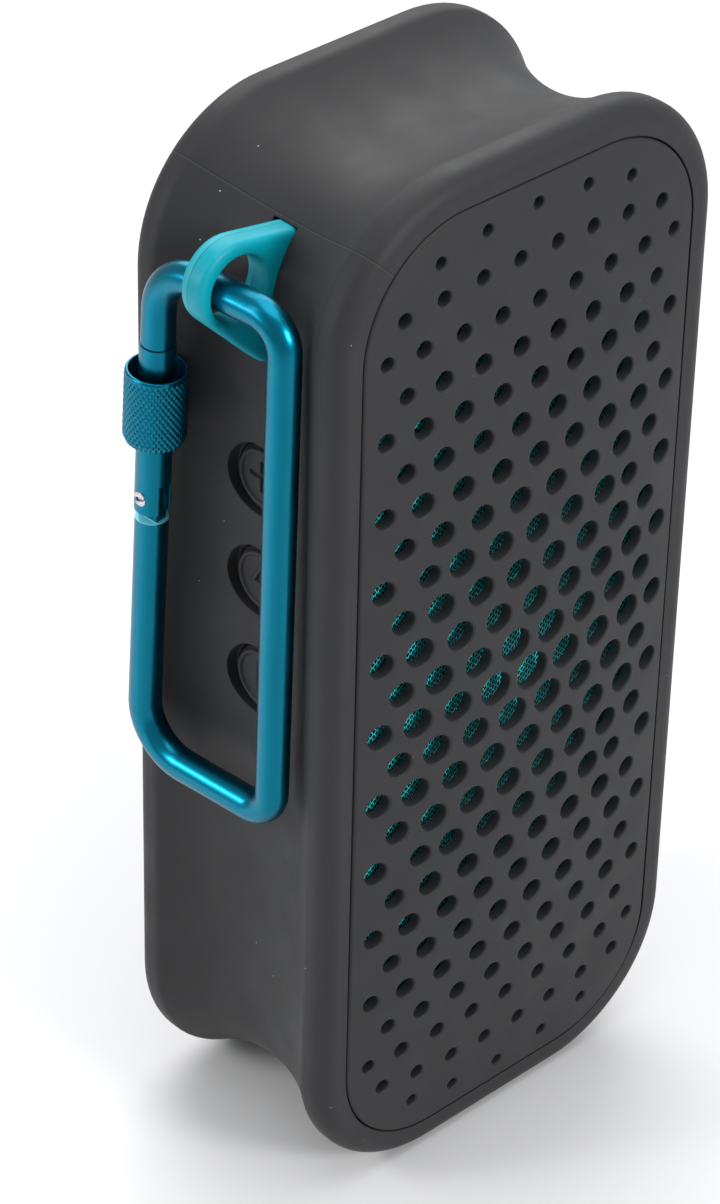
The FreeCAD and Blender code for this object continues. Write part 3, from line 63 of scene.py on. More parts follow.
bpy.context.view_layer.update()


# ---------------------------------------------------------------- camera and light
def make_camera():
    """View from above the left front corner, with the head tipped a little."""
    azimuth, elevation, roll = math.radians(-43.94), math.radians(34.83), math.radians(1.418)
    back = Vector((math.sin(azimuth) * math.cos(elevation), -math.cos(azimuth) * math.cos(elevation),
                   math.sin(elevation)))
    right = Vector((math.cos(azimuth), math.sin(azimuth), 0))
    up = back.cross(right)
    side = right * math.cos(roll) + up * math.sin(roll)
    top = up * math.cos(roll) - right * math.sin(roll)
    eye = Vector((CENTRE.x - 0.3948, CENTRE.y - 0.3974, 0.4786))
    matrix = Matrix((side, top, back)).transposed().to_4x4()
    matrix.translation = eye
    data = bpy.data.cameras.new("camera")
    data.lens = 130.0
    data.sensor_width = 36.0
    data.clip_start = 0.05
    camera = bpy.data.objects.new("camera", data)
    bpy.context.scene.collection.objects.link(camera)
    camera.matrix_world = matrix
    bpy.context.scene.camera = camera


def area_light(name, place, target, width, height, power):
    data = bpy.data.lights.new(name, "AREA")
    data.shape = "RECTANGLE"
    data.size, data.size_y = width, height
    data.energy = power
    light = bpy.data.objects.new(name, data)
    bpy.context.scene.collection.objects.link(light)
    light.location = place
    light.rotation_mode = "QUATERNION"
    light.rotation_quaternion = (Vector(target) - Vector(place)).to_track_quat("-Z", "Y")


def make_studio():
    scene = bpy.context.scene
    scene.view_settings.view_transform = "Standard"
    world = bpy.data.worlds.new("studio")
    scene.world = world
    world.use_nodes = True
    tree = world.node_tree
    tree.nodes.clear()
    output = tree.nodes.new("ShaderNodeOutputWorld")
    shade = tree.nodes.new("ShaderNodeBackground")
    shade.inputs["Color"].default_value = (0.97, 0.98, 1.0, 1)
    shade.inputs["Strength"].default_value = 0.6
    tree.links.new(shade.outputs[0], output.inputs[0])
    pool = Vector((CENTRE.x - 0.30, CENTRE.y + 0.14, 0.22))
    area_light("back_softbox", (CENTRE.x + 0.45, CENTRE.y + 0.55, 0.75), CENTRE, 0.9, 0.7, 6.6)
    area_light("overhead_softbox", (CENTRE.x + 0.05, CENTRE.y - 0.05, 1.05), CENTRE, 0.8, 0.8, 5.6)
    area_light("front_softbox", (CENTRE.x + 0.12, CENTRE.y - 0.9, 0.55), CENTRE, 0.3, 0.3, 7.2)
    area_light("left_pool", pool, (pool.x, pool.y, 0), 0.16, 0.16, 1.0)
    area_light("left_strip", (CENTRE.x - 0.75, CENTRE.y + 0.35, 0.55), CENTRE, 0.12, 0.7, 1.6)


# ---------------------------------------------------------------- materials
class Shader:
    """Principled material with small helpers for wiring procedural detail."""

    def __init__(self, name):
        self.material = bpy.data.materials.new(name)
        self.material.use_nodes = True
        self.tree = self.material.node_tree
        self.bsdf = self.tree.nodes["Principled BSDF"]
        self.coords = self.tree.nodes.new("ShaderNodeTexCoord").outputs["Object"]

    def link(self, source, target):
        if isinstance(source, (int, float)):
            target.default_value = source
        else:
            self.tree.links.new(source, target)

    def math(self, operation, a, b=0.0):
        item = self.tree.nodes.new("ShaderNodeMath")
        item.operation = operation
        self.link(a, item.inputs[0])
        self.link(b, item.inputs[1])
        return item.outputs[0]

    def noise(self, scale, detail):
        item = self.tree.nodes.new("ShaderNodeTexNoise")
        item.inputs["Scale"].default_value = scale
        item.inputs["Detail"].default_value = detail
        item.inputs["Roughness"].default_value = 0.5
        self.link(self.coords, item.inputs["Vector"])
        return item.outputs["Fac"]

    def voronoi(self, scale):
        item = self.tree.nodes.new("ShaderNodeTexVoronoi")
        item.inputs["Scale"].default_value = scale
        self.link(self.coords, item.inputs["Vector"])
        return item.outputs["Distance"]

    def axes(self):
        item = self.tree.nodes.new("ShaderNodeSeparateXYZ")
        self.link(self.coords, item.inputs[0])
        return item.outputs

    def span(self, value, low, high, to_low, to_high):
        item = self.tree.nodes.new("ShaderNodeMapRange")
        self.link(value, item.inputs["Value"])
        for name, number in (("From Min", low), ("From Max", high), ("To Min", to_low), ("To Max", to_high)):
            item.inputs[name].default_value = number
        return item.outputs[0]

    def mix(self, factor, first, second):
        item = self.tree.nodes.new("ShaderNodeMix")
        item.data_type = "RGBA"
        self.link(factor, item.inputs["Factor"])
        for socket, colour in ((item.inputs["A"], first), (item.inputs["B"], second)):
            if isinstance(colour, tuple):
                socket.default_value = (*colour, 1)
            else:
                self.tree.links.new(colour, socket)
        return item.outputs["Result"]

    def bump(self, height, distance, normal=None):
        item = self.tree.nodes.new("ShaderNodeBump")
        item.inputs["Distance"].default_value = distance
        item.inputs["Strength"].default_value = 1.0
        self.link(height, item.inputs["Height"])
        if normal is not None:
            self.link(normal, item.inputs["Normal"])
        return item.outputs[0]

    def soft_edges(self, radius):
        item = self.tree.nodes.new("ShaderNodeBevel")
        item.inputs["Radius"].default_value = radius
        item.samples = 6
        return item.outputs[0]


def varied(colour, amount):
    return tuple(min(1.0, c * amount) for c in colour)


def finish_material(name, colour, rough, metal=0.0, grain=1500.0, depth=0.01 * MM, tint=0.08, spread=0.06,
                    edge=0.0, specks=0.0, sheen=0.0, gloss=0.5):
    """Material with colour drift, uneven gloss and a fine grain, and dust and softened edges if asked for."""
    cloud_scale, gloss_scale, speck_scale, patch_scale = 45.0, 130.0, 320.0, 210.0
    dust, bare_share = (0.42, 0.42, 0.42), 0.57
    shade = Shader(name)
    cloudy = shade.noise(cloud_scale, 4.0)
    fine = shade.noise(grain, 2.0)
    base = shade.mix(cloudy, varied(colour, 1 - tint), varied(colour, 1 + tint))
    if specks:
        spot = shade.math("LESS_THAN", shade.voronoi(speck_scale), specks)
        kept = shade.math("GREATER_THAN", shade.noise(patch_scale, 1.0), bare_share)
        base = shade.mix(shade.math("MULTIPLY", spot, kept), base, dust)
    shade.link(base, shade.bsdf.inputs["Base Color"])
    shade.link(shade.span(shade.noise(gloss_scale, 5.0), 0.3, 0.7, rough - spread, rough + spread),
               shade.bsdf.inputs["Roughness"])
    shade.bsdf.inputs["Metallic"].default_value = metal
    if sheen:
        shade.bsdf.inputs["Sheen Weight"].default_value = sheen
        shade.bsdf.inputs["Sheen Roughness"].default_value = 0.5
    shade.bsdf.inputs["Specular IOR Level"].default_value = gloss
    normal = shade.soft_edges(edge) if edge else None
    shade.link(shade.bump(fine, depth, normal), shade.bsdf.inputs["Normal"])
    shade.base = base
    return shade


RUBBER = (0.020, 0.0202, 0.0214)
TEAL_METAL = (0.0, 0.145, 0.225)


def shell_material():
    """Soft-touch rubber with dust specks, and the mould's hairline at each corner with a painted highlight along
    one side.
    """
    shade = finish_material("shell_rubber", RUBBER, 0.56, grain=2600.0, depth=0.012 * MM, tint=0.05,
                            specks=0.035, sheen=0.03, gloss=0.22, edge=0.3 * MM)
    axes = shade.axes()
    run_x = shade.math("SUBTRACT", shade.math("ABSOLUTE", shade.math("SUBTRACT", axes[0], CENTRE.x)),
                       HALF_WIDTH - CORNER)
    run_z = shade.math("SUBTRACT", shade.math("ABSOLUTE", shade.math("SUBTRACT", axes[2], CENTRE.z)),
                       HALF_HEIGHT - CORNER)
    across = shade.math("SUBTRACT", run_x, run_z)
    in_corner = shade.math("GREATER_THAN", shade.math("MINIMUM", run_x, run_z), 0.0)

    def stripe(place, half_width):
        off = shade.math("ABSOLUTE", shade.math("SUBTRACT", across, place))
        return shade.math("MULTIPLY", shade.math("LESS_THAN", off, half_width), in_corner)

    # the pale stripe beside the dark hairline is a painted highlight, as of light catching a ridge
    line, ridge_highlight = stripe(0.0, 0.11 * MM), stripe(0.2 * MM, 0.08 * MM)
    with_highlight = shade.mix(shade.math("MULTIPLY", ridge_highlight, 0.5), shade.base, (0.07, 0.07, 0.072))
    dark = shade.mix(shade.math("MULTIPLY", line, 0.85), with_highlight, (0.006, 0.006, 0.006))
    shade.link(dark, shade.bsdf.inputs["Base Color"])
    return shade.material


def silicone_material():
    """Teal silicone, slightly translucent, with the mould's parting line and a pale painted highlight band beside
    it.
    """
    shade = finish_material("silicone", (0.0, 0.27, 0.34), 0.42, grain=2200.0, depth=0.008 * MM, tint=0.04,
                            gloss=0.22)
    parting = CENTRE.y + 0.5 * MM
    off = shade.math("SUBTRACT", shade.axes()[1], parting)
    line = shade.math("LESS_THAN", shade.math("ABSOLUTE", off), 0.06 * MM)
    # the pale band beside the parting line is a painted highlight
    highlight_band = shade.math("LESS_THAN", shade.math("ABSOLUTE", shade.math("SUBTRACT", off, 0.55 * MM)), 0.4 * MM)
    with_highlight = shade.mix(shade.math("MULTIPLY", highlight_band, 0.2), shade.base, (0.1, 0.5, 0.56))
    dark = shade.mix(shade.math("MULTIPLY", line, 0.7), with_highlight, (0.0, 0.08, 0.11))
    shade.link(dark, shade.bsdf.inputs["Base Color"])
    shade.bsdf.inputs["Subsurface Weight"].default_value = 0.12
    shade.bsdf.inputs["Subsurface Radius"].default_value = (0.001, 0.002, 0.002)
    return shade.material


def anodised_material(name, edge=0.12 * MM):
    """Satin anodised aluminium: a fine blasted grain under a thin clear coat."""
    shade = finish_material(name, TEAL_METAL, 0.33, 1.0, grain=3800.0, depth=0.006 * MM, tint=0.06,
                            spread=0.05, edge=edge)
    shade.bsdf.inputs["Coat Weight"].default_value = 0.12
    shade.bsdf.inputs["Coat Roughness"].default_value = 0.14
    return shade


def frame_material():
    """The carabiner frame's anodising, with a painted highlight: pale cyan on the cut face that the gate's foot
    swings over.
    """
    shade = anodised_material("anodised_frame")
    along = Vector(JOINTS["sleeve_slide"]["axis"]).normalized()
    pivot = Vector(JOINTS["gate_hinge"]["pos_m"])
    axes = shade.axes()
    rise = -along.dot(pivot)
    for k in range(3):
        rise = shade.math("ADD", shade.math("MULTIPLY", axes[k], along[k]), rise)
    reach = shade.tree.nodes.new("ShaderNodeVectorMath")
    reach.operation = "DISTANCE"
    shade.link(shade.coords, reach.inputs[0])
    reach.inputs[1].default_value = pivot
    skin, face_reach = 0.04 * MM, 6 * MM
    cut = shade.math("LESS_THAN", shade.math("ABSOLUTE", shade.math("ADD", rise, CUT_DROP)), skin)
    near = shade.math("LESS_THAN", reach.outputs["Value"], face_reach)
    # the cut face is painted pale cyan and made less metallic: a painted highlight
    highlight_mask = shade.math("MULTIPLY", cut, near)
    shade.link(shade.mix(highlight_mask, shade.base, (0.22, 0.78, 0.86)), shade.bsdf.inputs["Base Color"])
    shade.link(shade.span(highlight_mask, 0.0, 1.0, 1.0, 0.2), shade.bsdf.inputs["Metallic"])
    return shade.material


# each finish: colour, roughness, metal, and whatever else finish_material is to be told
FINISHES = {
    "grille_rubber": (RUBBER, 0.58, 0.0, {"grain": 2600.0, "depth": 0.012 * MM, "tint": 0.05, "specks": 0.02,
                                          "sheen": 0.03, "gloss": 0.22}),
    "button_rubber": (RUBBER, 0.55, 0.0, {"grain": 2400.0, "edge": 0.22 * MM, "specks": 0.02, "sheen": 0.03,
                                          "gloss": 0.22}),
    "cover_plastic": (varied(RUBBER, 0.9), 0.6, 0.0, {"grain": 1800.0, "depth": 0.03 * MM, "edge": 0.2 * MM,
                                                      "specks": 0.02, "gloss": 0.25}),
    "steel": ((0.5, 0.5, 0.51), 0.3, 1.0, {}),
    "plated_steel": ((0.5, 0.51, 0.53), 0.34, 1.0, {"edge": 0.1 * MM}),
    "port_metal": ((0.6, 0.6, 0.61), 0.28, 1.0, {}),
    "can": ((0.66, 0.66, 0.68), 0.3, 1.0, {}),
    "copper": ((0.62, 0.24, 0.09), 0.3, 1.0, {"grain": 5000.0}),
    "black_plastic": ((0.012, 0.012, 0.013), 0.5, 0.0, {}),
    "cloth": ((0.02, 0.9, 0.96), 0.22, 0.0, {"grain": 5200.0, "depth": 0.02 * MM, "tint": 0.2}),
    "scrim": ((0.004, 0.012, 0.014), 0.7, 0.0, {"grain": 3000.0}),
    "ferrite": ((0.035, 0.035, 0.038), 0.6, 0.0, {"grain": 1200.0}),
    "paper": ((0.02, 0.02, 0.02), 0.75, 0.0, {"grain": 900.0, "depth": 0.05 * MM}),
    "spider_cloth": ((0.4, 0.24, 0.06), 0.8, 0.0, {"grain": 2500.0, "depth": 0.05 * MM}),
    "butyl": ((0.014, 0.014, 0.014), 0.5, 0.0, {}),
    "board": ((0.008, 0.09, 0.04), 0.35, 0.0, {}),
    "component": ((0.015, 0.015, 0.016), 0.5, 0.0, {}),
    "socket": ((0.66, 0.62, 0.5), 0.45, 0.0, {}),
    "light_pipe": ((0.7, 0.75, 0.75), 0.12, 0.0, {}),
    "cell_wrap": ((0.02, 0.06, 0.2), 0.25, 0.0, {}),
    "lead": ((0.3, 0.01, 0.01), 0.45, 0.0, {}),
}


def make_materials():
    made = {name: finish_material(name, colour, rough, metal, **extras).material
            for name, (colour, rough, metal, extras) in FINISHES.items()}
    made["shell_rubber"] = shell_material()
    made["silicone"] = silicone_material()
    made["anodised"] = anodised_material("anodised").material
    made["knurl"] = anodised_material("knurl", 0.0).material
    made["frame"] = frame_material()
    return made


def dress_nodes(made):
    """Give every CAD node the material of its slot, and the carabiner's frame its own."""
    for part in frame["record"]["subparts"]:
        mesh = NODES[part["node"]].data
        mesh.materials.clear()
        mesh.materials.append(made["frame" if part["node"] == "carabiner_frame" else part["material_slot"]])


# ---------------------------------------------------------------- mesh helpers
def add_mesh(name, points, faces, material, body, smooth_angle=None):
    mesh = bpy.data.meshes.new(name)
    mesh.from_pydata([tuple(p) for p in points], [], [tuple(int(i) for i in f) for f in faces])
    mesh.validate()
    mesh.materials.append(material)
    item = bpy.data.objects.new(name, mesh)
    bpy.context.scene.collection.objects.link(item)
    mesh.shade_smooth()
    if smooth_angle is not None:
        mesh.set_sharp_from_angle(angle=math.radians(smooth_angle))
    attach(item, body)
    return item


def bands(rows):
    """Quads that join each closed row of vertex numbers to the next one."""
    quads = []
    for first, second in zip(rows, rows[1:]):
        count = len(first)
        for k in range(count):
            after = (k + 1) % count
            quads.append((first[k], first[after], second[after], second[k]))
    return quads


def rounded_outline(half_w, half_h, radius, per_corner):
    """Points round a rounded rectangle, anticlockwise, with runs of points along its straight sides."""
    longest_run = 3 * MM
    points = []
    for k, (sx, sz) in enumerate(((1, 1), (-1, 1), (-1, -1), (1, -1))):
        for step in range(per_corner + 1):
            angle = math.radians(90 * (k + step / per_corner))
            points.append((sx * (half_w - radius) + radius * math.cos(angle),
                           sz * (half_h - radius) + radius * math.sin(angle)))
        nxt = ((-1, 1), (-1, -1), (1, -1), (1, 1))[k]
        start = points[-1]
        angle = math.radians(90 * (k + 1))
        end = (nxt[0] * (half_w - radius) + radius * math.cos(angle),
               nxt[1] * (half_h - radius) + radius * math.sin(angle))
        runs = max(2, int(math.dist(start, end) / longest_run))
        for step in range(1, runs):
            points.append((start[0] + (end[0] - start[0]) * step / runs,
                           start[1] + (end[1] - start[1]) * step / runs))
    return points


# ---------------------------------------------------------------- grille
GRILLE_LOW, GRILLE_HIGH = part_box("front_grille")
GRILLE_W, GRILLE_H = (GRILLE_HIGH.x - GRILLE_LOW.x) / 2, (GRILLE_HIGH.z - GRILLE_LOW.z) / 2
RIM = SHELL_LOW.y
RISE = RIM - GRILLE_LOW.y
WALL = 2.0 * MM
GRILLE_CORNER = CORNER - (HALF_WIDTH - GRILLE_W)
HOLE_LIP, PLATE_EDGE, PLATE_SKIRT = 0.38 * MM, 0.4 * MM, 2.2 * MM
HOLE_SIDES, LIP_STEPS = 30, 4
TINY = 0.1 * MM
PITCH, ROW_PITCH = 7.53 * MM, 6.525 * MM
# hole radius in mm in each row, from the middle row out
ROW_RADII = [2.55, 2.5, 2.45, 2.4, 2.35, 2.1, 2.0, 1.9, 1.75, 1.6, 1.4]
# the two bowed rows near each end, in mm: height of the middle, radius, places to each side, drop of the last
EDGE_ROWS = [(73.1, 1.25, (3.8, 11.2, 18.8, 26.2), 1.9), (80.6, 1.0, (0.0, 10.2, 19.4), 2.6)]


def dome(x, z):
    """Outer face of the grille: its y at (x, z) measured from the housing's centre."""
    beyond = 1 * MM  # the dome would meet the rim's plane this far outside the plate
    return RIM - RISE * (1 - (x / (GRILLE_W + beyond)) ** 2) * (1 - (z / (GRILLE_H + beyond)) ** 2)


def grille_holes():
    """(x, z, radius) about the housing's centre: staggered rows that shrink towards both ends.

    The middle hole is the largest and its neighbours come next. The holes at both ends of these rows are
    smaller and pulled in. So are their neighbours, in the fourth row above and below the middle one.
    """
    holes = []
    for row, radius in enumerate(ROW_RADII):
        even = row % 2 == 0
        places = [k * PITCH for k in range(-4, 5)] if even else [(k + 0.5) * PITCH for k in range(-4, 4)]
        if row == 4:
            places = [x for x in places if abs(abs(x) - 3 * PITCH) > TINY] + [-2.8 * PITCH, 2.8 * PITCH]
        for x in places:
            size = radius * MM
            if abs(x) > 3.4 * PITCH:
                size, x = size * 0.84, x * 0.975
            if row == 0 and abs(x) < TINY:
                size *= 1.25
            if row <= 1 and TINY < abs(x) < 1.1 * PITCH:
                size *= 1.12
            if row == 4 and abs(abs(x) - 2.8 * PITCH) < TINY:
                size *= 0.8
            for side in ((1,) if row == 0 else (1, -1)):
                holes.append((x, side * row * ROW_PITCH, size))
    for rise, radius, places, bow in EDGE_ROWS:
        for x in places:
            z = rise - bow * (x / max(places)) ** 2
            for sx in ((1,) if x == 0 else (1, -1)):
                for sz in (1, -1):
                    holes.append((sx * x * MM, sz * z * MM, radius * MM))
    return holes


def outline(inset):
    """The plate's outline drawn in by the inset."""
    return rounded_outline(GRILLE_W - inset, GRILLE_H - inset, GRILLE_CORNER - inset, per_corner=16)


def hole_ring(x, z, radius):
    angles = [2 * math.pi * k / HOLE_SIDES for k in range(HOLE_SIDES)]
    return [(x + radius * math.cos(angle), z + radius * math.sin(angle)) for angle in angles]


def beyond_core(x, z):
    """Distance from the rectangle that the plate's outline is rounded about."""
    dx, dz = max(0, abs(x) - (GRILLE_W - GRILLE_CORNER)), max(0, abs(z) - (GRILLE_H - GRILLE_CORNER))
    return math.hypot(dx, dz)


def plate_points(holes):
    """Flat points of the plate, the edges that have to stay, and where each hole's ring of points starts."""
    flat = [Vector(p) for p in outline(PLATE_EDGE)]
    count = len(flat)
    fixed = [(k, (k + 1) % count) for k in range(count)]
    starts = []
    for x, z, radius in holes:
        start = len(flat)
        starts.append(start)
        flat += [Vector(p) for p in hole_ring(x, z, radius + HOLE_LIP)]
        fixed += [(start + k, start + (k + 1) % HOLE_SIDES) for k in range(HOLE_SIDES)]
    columns, rows = 12, 32
    step, squash, margin, clearance = 3.1 * MM, 0.87, 3.2 * MM, 0.7 * MM
    for i in range(-columns, columns + 1):
        for j in range(-rows, rows + 1):
            x, z = (i + 0.5 * (j % 2)) * step, j * step * squash
            if beyond_core(x, z) > GRILLE_CORNER - margin:
                continue
            if all(math.hypot(x - hx, z - hz) > hr + HOLE_LIP + clearance for hx, hz, hr in holes):
                flat.append(Vector((x, z)))
    return flat, fixed, starts, count


def plate_faces(flat, fixed, holes):
    """Triangles between the plate's outline and the lips of its holes."""
    whole_hull, nearness = 0, 1e-5
    edge_slack, lip_slack = 0.99, 0.992
    points, _, faces, _, _, _ = delaunay_2d_cdt([p / MM for p in flat], fixed, [], whole_hull, nearness)
    points = [p * MM for p in points]
    if len(points) != len(flat):
        raise RuntimeError("the grille's outline crosses itself")

    def solid(face):
        x = sum(points[i].x for i in face) / 3
        z = sum(points[i].y for i in face) / 3
        if beyond_core(x, z) > GRILLE_CORNER - PLATE_EDGE * edge_slack:
            return False
        return all(math.hypot(x - hx, z - hz) > (hr + HOLE_LIP) * lip_slack for hx, hz, hr in holes)

    return points, [face for face in faces if solid(face)]


def make_grille(material):
    """Domed plate with rolled lips: one outer triangulation, mirrored inside, joined by walls."""
    seat = GRILLE_HIGH.y
    holes = grille_holes()
    flat, fixed, starts, count = plate_points(holes)
    points, faces = plate_faces(flat, fixed, holes)
    total = len(points)
    outer = [Vector((p.x, dome(p.x, p.y), p.y)) for p in points]
    back = [Vector((p.x, dome(p.x, p.y) + WALL, p.y)) for p in points]
    inner = outline(PLATE_SKIRT)
    for k, (x, z) in enumerate(inner):
        back[k] = Vector((x, dome(x, z) + WALL, z))
    for (x, z, radius), start in zip(holes, starts):
        for k, (px, pz) in enumerate(hole_ring(x, z, radius)):
            back[start + k] = Vector((px, dome(px, pz) + WALL, pz))
    verts = outer + back
    # the triangulation's windings face -Y outside and +Y inside
    skin = [(a, b, c) for a, b, c in faces] + [(c + total, b + total, a + total) for a, b, c in faces]

    def ring(values):
        start = len(verts)
        verts.extend(values)
        return [start + k for k in range(len(values))]

    turns = [math.pi / 2 * step / LIP_STEPS for step in range(1, LIP_STEPS + 1)]
    for (x, z, radius), start in zip(holes, starts):
        rows = [[start + k for k in range(HOLE_SIDES)]]
        bore = hole_ring(x, z, radius)
        for turn in turns:
            lip = hole_ring(x, z, radius + HOLE_LIP * (1 - math.sin(turn)))
            drop = HOLE_LIP * (1 - math.cos(turn))
            rows.append(ring([Vector((lx, dome(bx, bz) + drop, lz))
                              for (lx, lz), (bx, bz) in zip(lip, bore)]))
        rows.append([total + start + k for k in range(HOLE_SIDES)])
        skin += [tuple(reversed(quad)) for quad in bands(rows)]
    rows = [list(range(count))]
    for turn in turns:
        shape = outline(PLATE_EDGE * (1 - math.sin(turn)))
        drop = PLATE_EDGE * (1 - math.cos(turn))
        rows.append(ring([Vector((x, dome(x, z) + drop, z)) for x, z in shape]))
    for shape in (outline(0.0), inner):
        rows.append(ring([Vector((x, seat, z)) for x, z in shape]))
    rows.append([total + k for k in range(count)])
    skin += bands(rows)
    shift = Vector((CENTRE.x, 0, CENTRE.z))
    used = sorted({i for face in skin for i in face})
    number = {old: new for new, old in enumerate(used)}
    item = add_mesh("grille_panel", [verts[i] + shift for i in used],
                    [[number[i] for i in face] for face in skin], material, "housing", smooth_angle=50)
    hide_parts("front_grille")


def drape(x, z):
    """Middle of the stretched knit: close to the grille at its edge, and flatter than it in the middle."""
    gap, drop = 0.3 * MM, 1.9 * MM
    return dome(x, z) + WALL + gap + drop * (1 - (x / GRILLE_W) ** 2) * (1 - (z / GRILLE_H) ** 2)


def half_chord(place, half_across, half_along, corner):
    """Half the length of a rounded rectangle along a line that crosses it at the place."""
    over = max(0.0, abs(place) - (half_across - corner))
    return half_along - corner + math.sqrt(max(0.0, corner ** 2 - over ** 2))


def make_scrim(material, half_w, half_h, corner):
    """Plain dark backing, one sheet of quads just behind the knit."""
    across, along, behind = 24, 64, 0.32 * MM
    points, faces = [], []
    for i in range(along + 1):
        z = -half_h + 2 * half_h * i / along
        width = half_chord(z, half_h, half_w, corner)
        for j in range(across + 1):
            x = -width + 2 * width * j / across
            points.append(Vector((CENTRE.x + x, drape(x, z) + behind, CENTRE.z + z)))
    for i in range(along):
        for j in range(across):
            a = i * (across + 1) + j
            faces.append((a, a + 1, a + across + 2, a + across + 1))
    return add_mesh("cloth_scrim", points, faces, material, "housing")


def make_knit(material, half_w, half_h, corner):
    """Open honeycomb knit: zigzag strands that touch their neighbours in turn."""
    pitch, period, swing, lift = 0.56 * MM, 1.0 * MM, 0.17 * MM, 0.07 * MM
    radius, flattening, sides, per_period = 0.105 * MM, 0.8, 4, 6
    points, faces = [], []
    strands = int(half_w / pitch)
    for strand in range(-strands, strands + 1):
        x0 = strand * pitch
        reach = half_chord(x0, half_w, half_h, corner)
        steps = int(2 * reach / (period / per_period))
        z = np.linspace(-reach, reach, steps + 1)
        turn = 2 * np.pi * z / period + (np.pi if strand % 2 else 0.0)
        x = x0 + swing * np.sin(turn)
        y = np.array([drape(a, b) for a, b in zip(x, z)]) + lift * np.cos(2 * turn)
        start = len(points)
        for k in range(sides):
            angle = 2 * np.pi * k / sides
            depth = y + radius * np.sin(angle) * flattening
            line = [CENTRE.x + x + radius * np.cos(angle), depth, CENTRE.z + z]
            points.extend(np.stack(line, 1).tolist())
        n = steps + 1
        for k in range(sides):
            a, b = start + k * n, start + ((k + 1) % sides) * n
            for s in range(steps):
                faces.append((a + s, a + s + 1, b + s + 1, b + s))
        faces.append(tuple(start + k * n for k in range(sides)))
        faces.append(tuple(start + (sides - 1 - k) * n + steps for k in range(sides)))
    return add_mesh("cloth_knit", points, faces, material, "housing")


def make_cloth(made):
    """Grille cloth of two layers: the backing sheet and the knit in front of it."""
    low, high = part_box("grille_cloth")
    margin, corner = 0.2 * MM, 14.0 * MM
    half_w, half_h = (high.x - low.x) / 2 - margin, (high.z - low.z) / 2 - margin
    scrim = make_scrim(made["scrim"], half_w, half_h, corner)
    knit = make_knit(made["cloth"], half_w, half_h, corner)
    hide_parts("grille_cloth")


# ---------------------------------------------------------------- knurled sleeve
def gate_frame():
    """Matrix whose Z axis runs along the carabiner's gate from its pivot."""
    along = Vector(JOINTS["sleeve_slide"]["axis"]).normalized()
    across = Vector(JOINTS["gate_hinge"]["axis"]).normalized()
    matrix = Matrix((across, along.cross(across), along)).transposed().to_4x4()
    matrix.translation = Vector(JOINTS["gate_hinge"]["pos_m"])
    return matrix


def make_sleeve(material):
    """Collar with a cut diamond knurl, plain chamfered rims, an open recess above and a plain bore below."""
    to_world = gate_frame()
    local = [to_world.inverted() @ v.co for v in NODES["lock_sleeve"].data.vertices]
    foot, top = min(p.z for p in local), max(p.z for p in local)
    outer = max(math.hypot(p.x, p.y) for p in local)
    bore = min(math.hypot(p.x, p.y) for p in local)
    recess, floor = outer - 0.6 * MM, top - 5.0 * MM
    starts, sides, rows = 36, 36 * 6, 96
    depth, lead = 0.26 * MM, 1.45
    verts, rings = [], []

    def ring(profile):
        start = len(verts)
        verts.extend(profile)
        rings.append([start + k for k in range(sides)])

    def circle(radius, z):
        return [(radius * math.cos(2 * math.pi * k / sides), radius * math.sin(2 * math.pi * k / sides), z)
                for k in range(sides)]

    for radius, z in ((bore, foot + 0.35 * MM), (bore + 0.35 * MM, foot), (outer - 0.55 * MM, foot),
                      (outer - 0.42 * MM, foot + 0.05 * MM)):
        ring(circle(radius, z))
    low, high = foot + 0.35 * MM, top - 0.75 * MM
    run_out, run_out_rows, land = 0.3 * MM, 5, 0.25
    for row in range(rows + 1):
        z = low + (high - low) * row / rows
        fade = min(1.0, row / run_out_rows)
        level = []
        for k in range(sides):
            turn = starts * k / sides
            climb = (z - low) / (outer * 2 * math.pi / starts) / lead
            first = abs((turn + climb) % 1.0 - 0.5) * 2
            second = abs((turn - climb) % 1.0 - 0.5) * 2
            cut = max(max(0.0, first - land) / (1 - land), max(0.0, second - land) / (1 - land))
            radius = outer - depth * cut - (1 - fade) * run_out
            angle = 2 * math.pi * k / sides
            level.append((radius * math.cos(angle), radius * math.sin(angle), z))
        ring(level)
    for radius, z in ((outer - 0.12 * MM, top - 0.62 * MM), (outer - 0.10 * MM, top - 0.30 * MM),
                      (outer - 0.28 * MM, top - 0.02 * MM), (outer - 0.36 * MM, top),
                      (recess + 0.06 * MM, top), (recess, top - 0.1 * MM), (recess, floor + 0.2 * MM),
                      (recess - 0.2 * MM, floor), (bore + 0.1 * MM, floor), (bore, floor - 0.15 * MM)):
        ring(circle(radius, z))
    faces = bands(rings + rings[:1])
    item = add_mesh("knurled_sleeve", [to_world @ Vector(v) for v in verts], faces, material, "sleeve",
                    smooth_angle=55)
    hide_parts("lock_sleeve")


# ---------------------------------------------------------------- buttons, rivet and loop
def bar(x, y, half_x, half_y):
    """Signed distance to a bar about the origin."""
    return max(abs(x) - half_x, abs(y) - half_y)


def triangle(x, y, reach):
    """Signed distance to an equal-sided triangle about the origin that points along +x."""
    return max(-x - 0.5 * reach, 0.5 * x + 0.866 * abs(y) - 0.5 * reach)


def share_of(value):
    return min(1.0, max(0.0, value))


# A mark is the rise of the cap's face in mm at (x, y): its body is sunk, and two have a fine raised outline.
MARK_DEPTH, MARK_EDGE = 0.55, 0.16


def plus_mark(x, y):
    reach, half_width = 2.7, 0.42
    edge = min(bar(x, y, reach, half_width), bar(x, y, half_width, reach))
    return -MARK_DEPTH * share_of(0.5 - edge / MARK_EDGE)


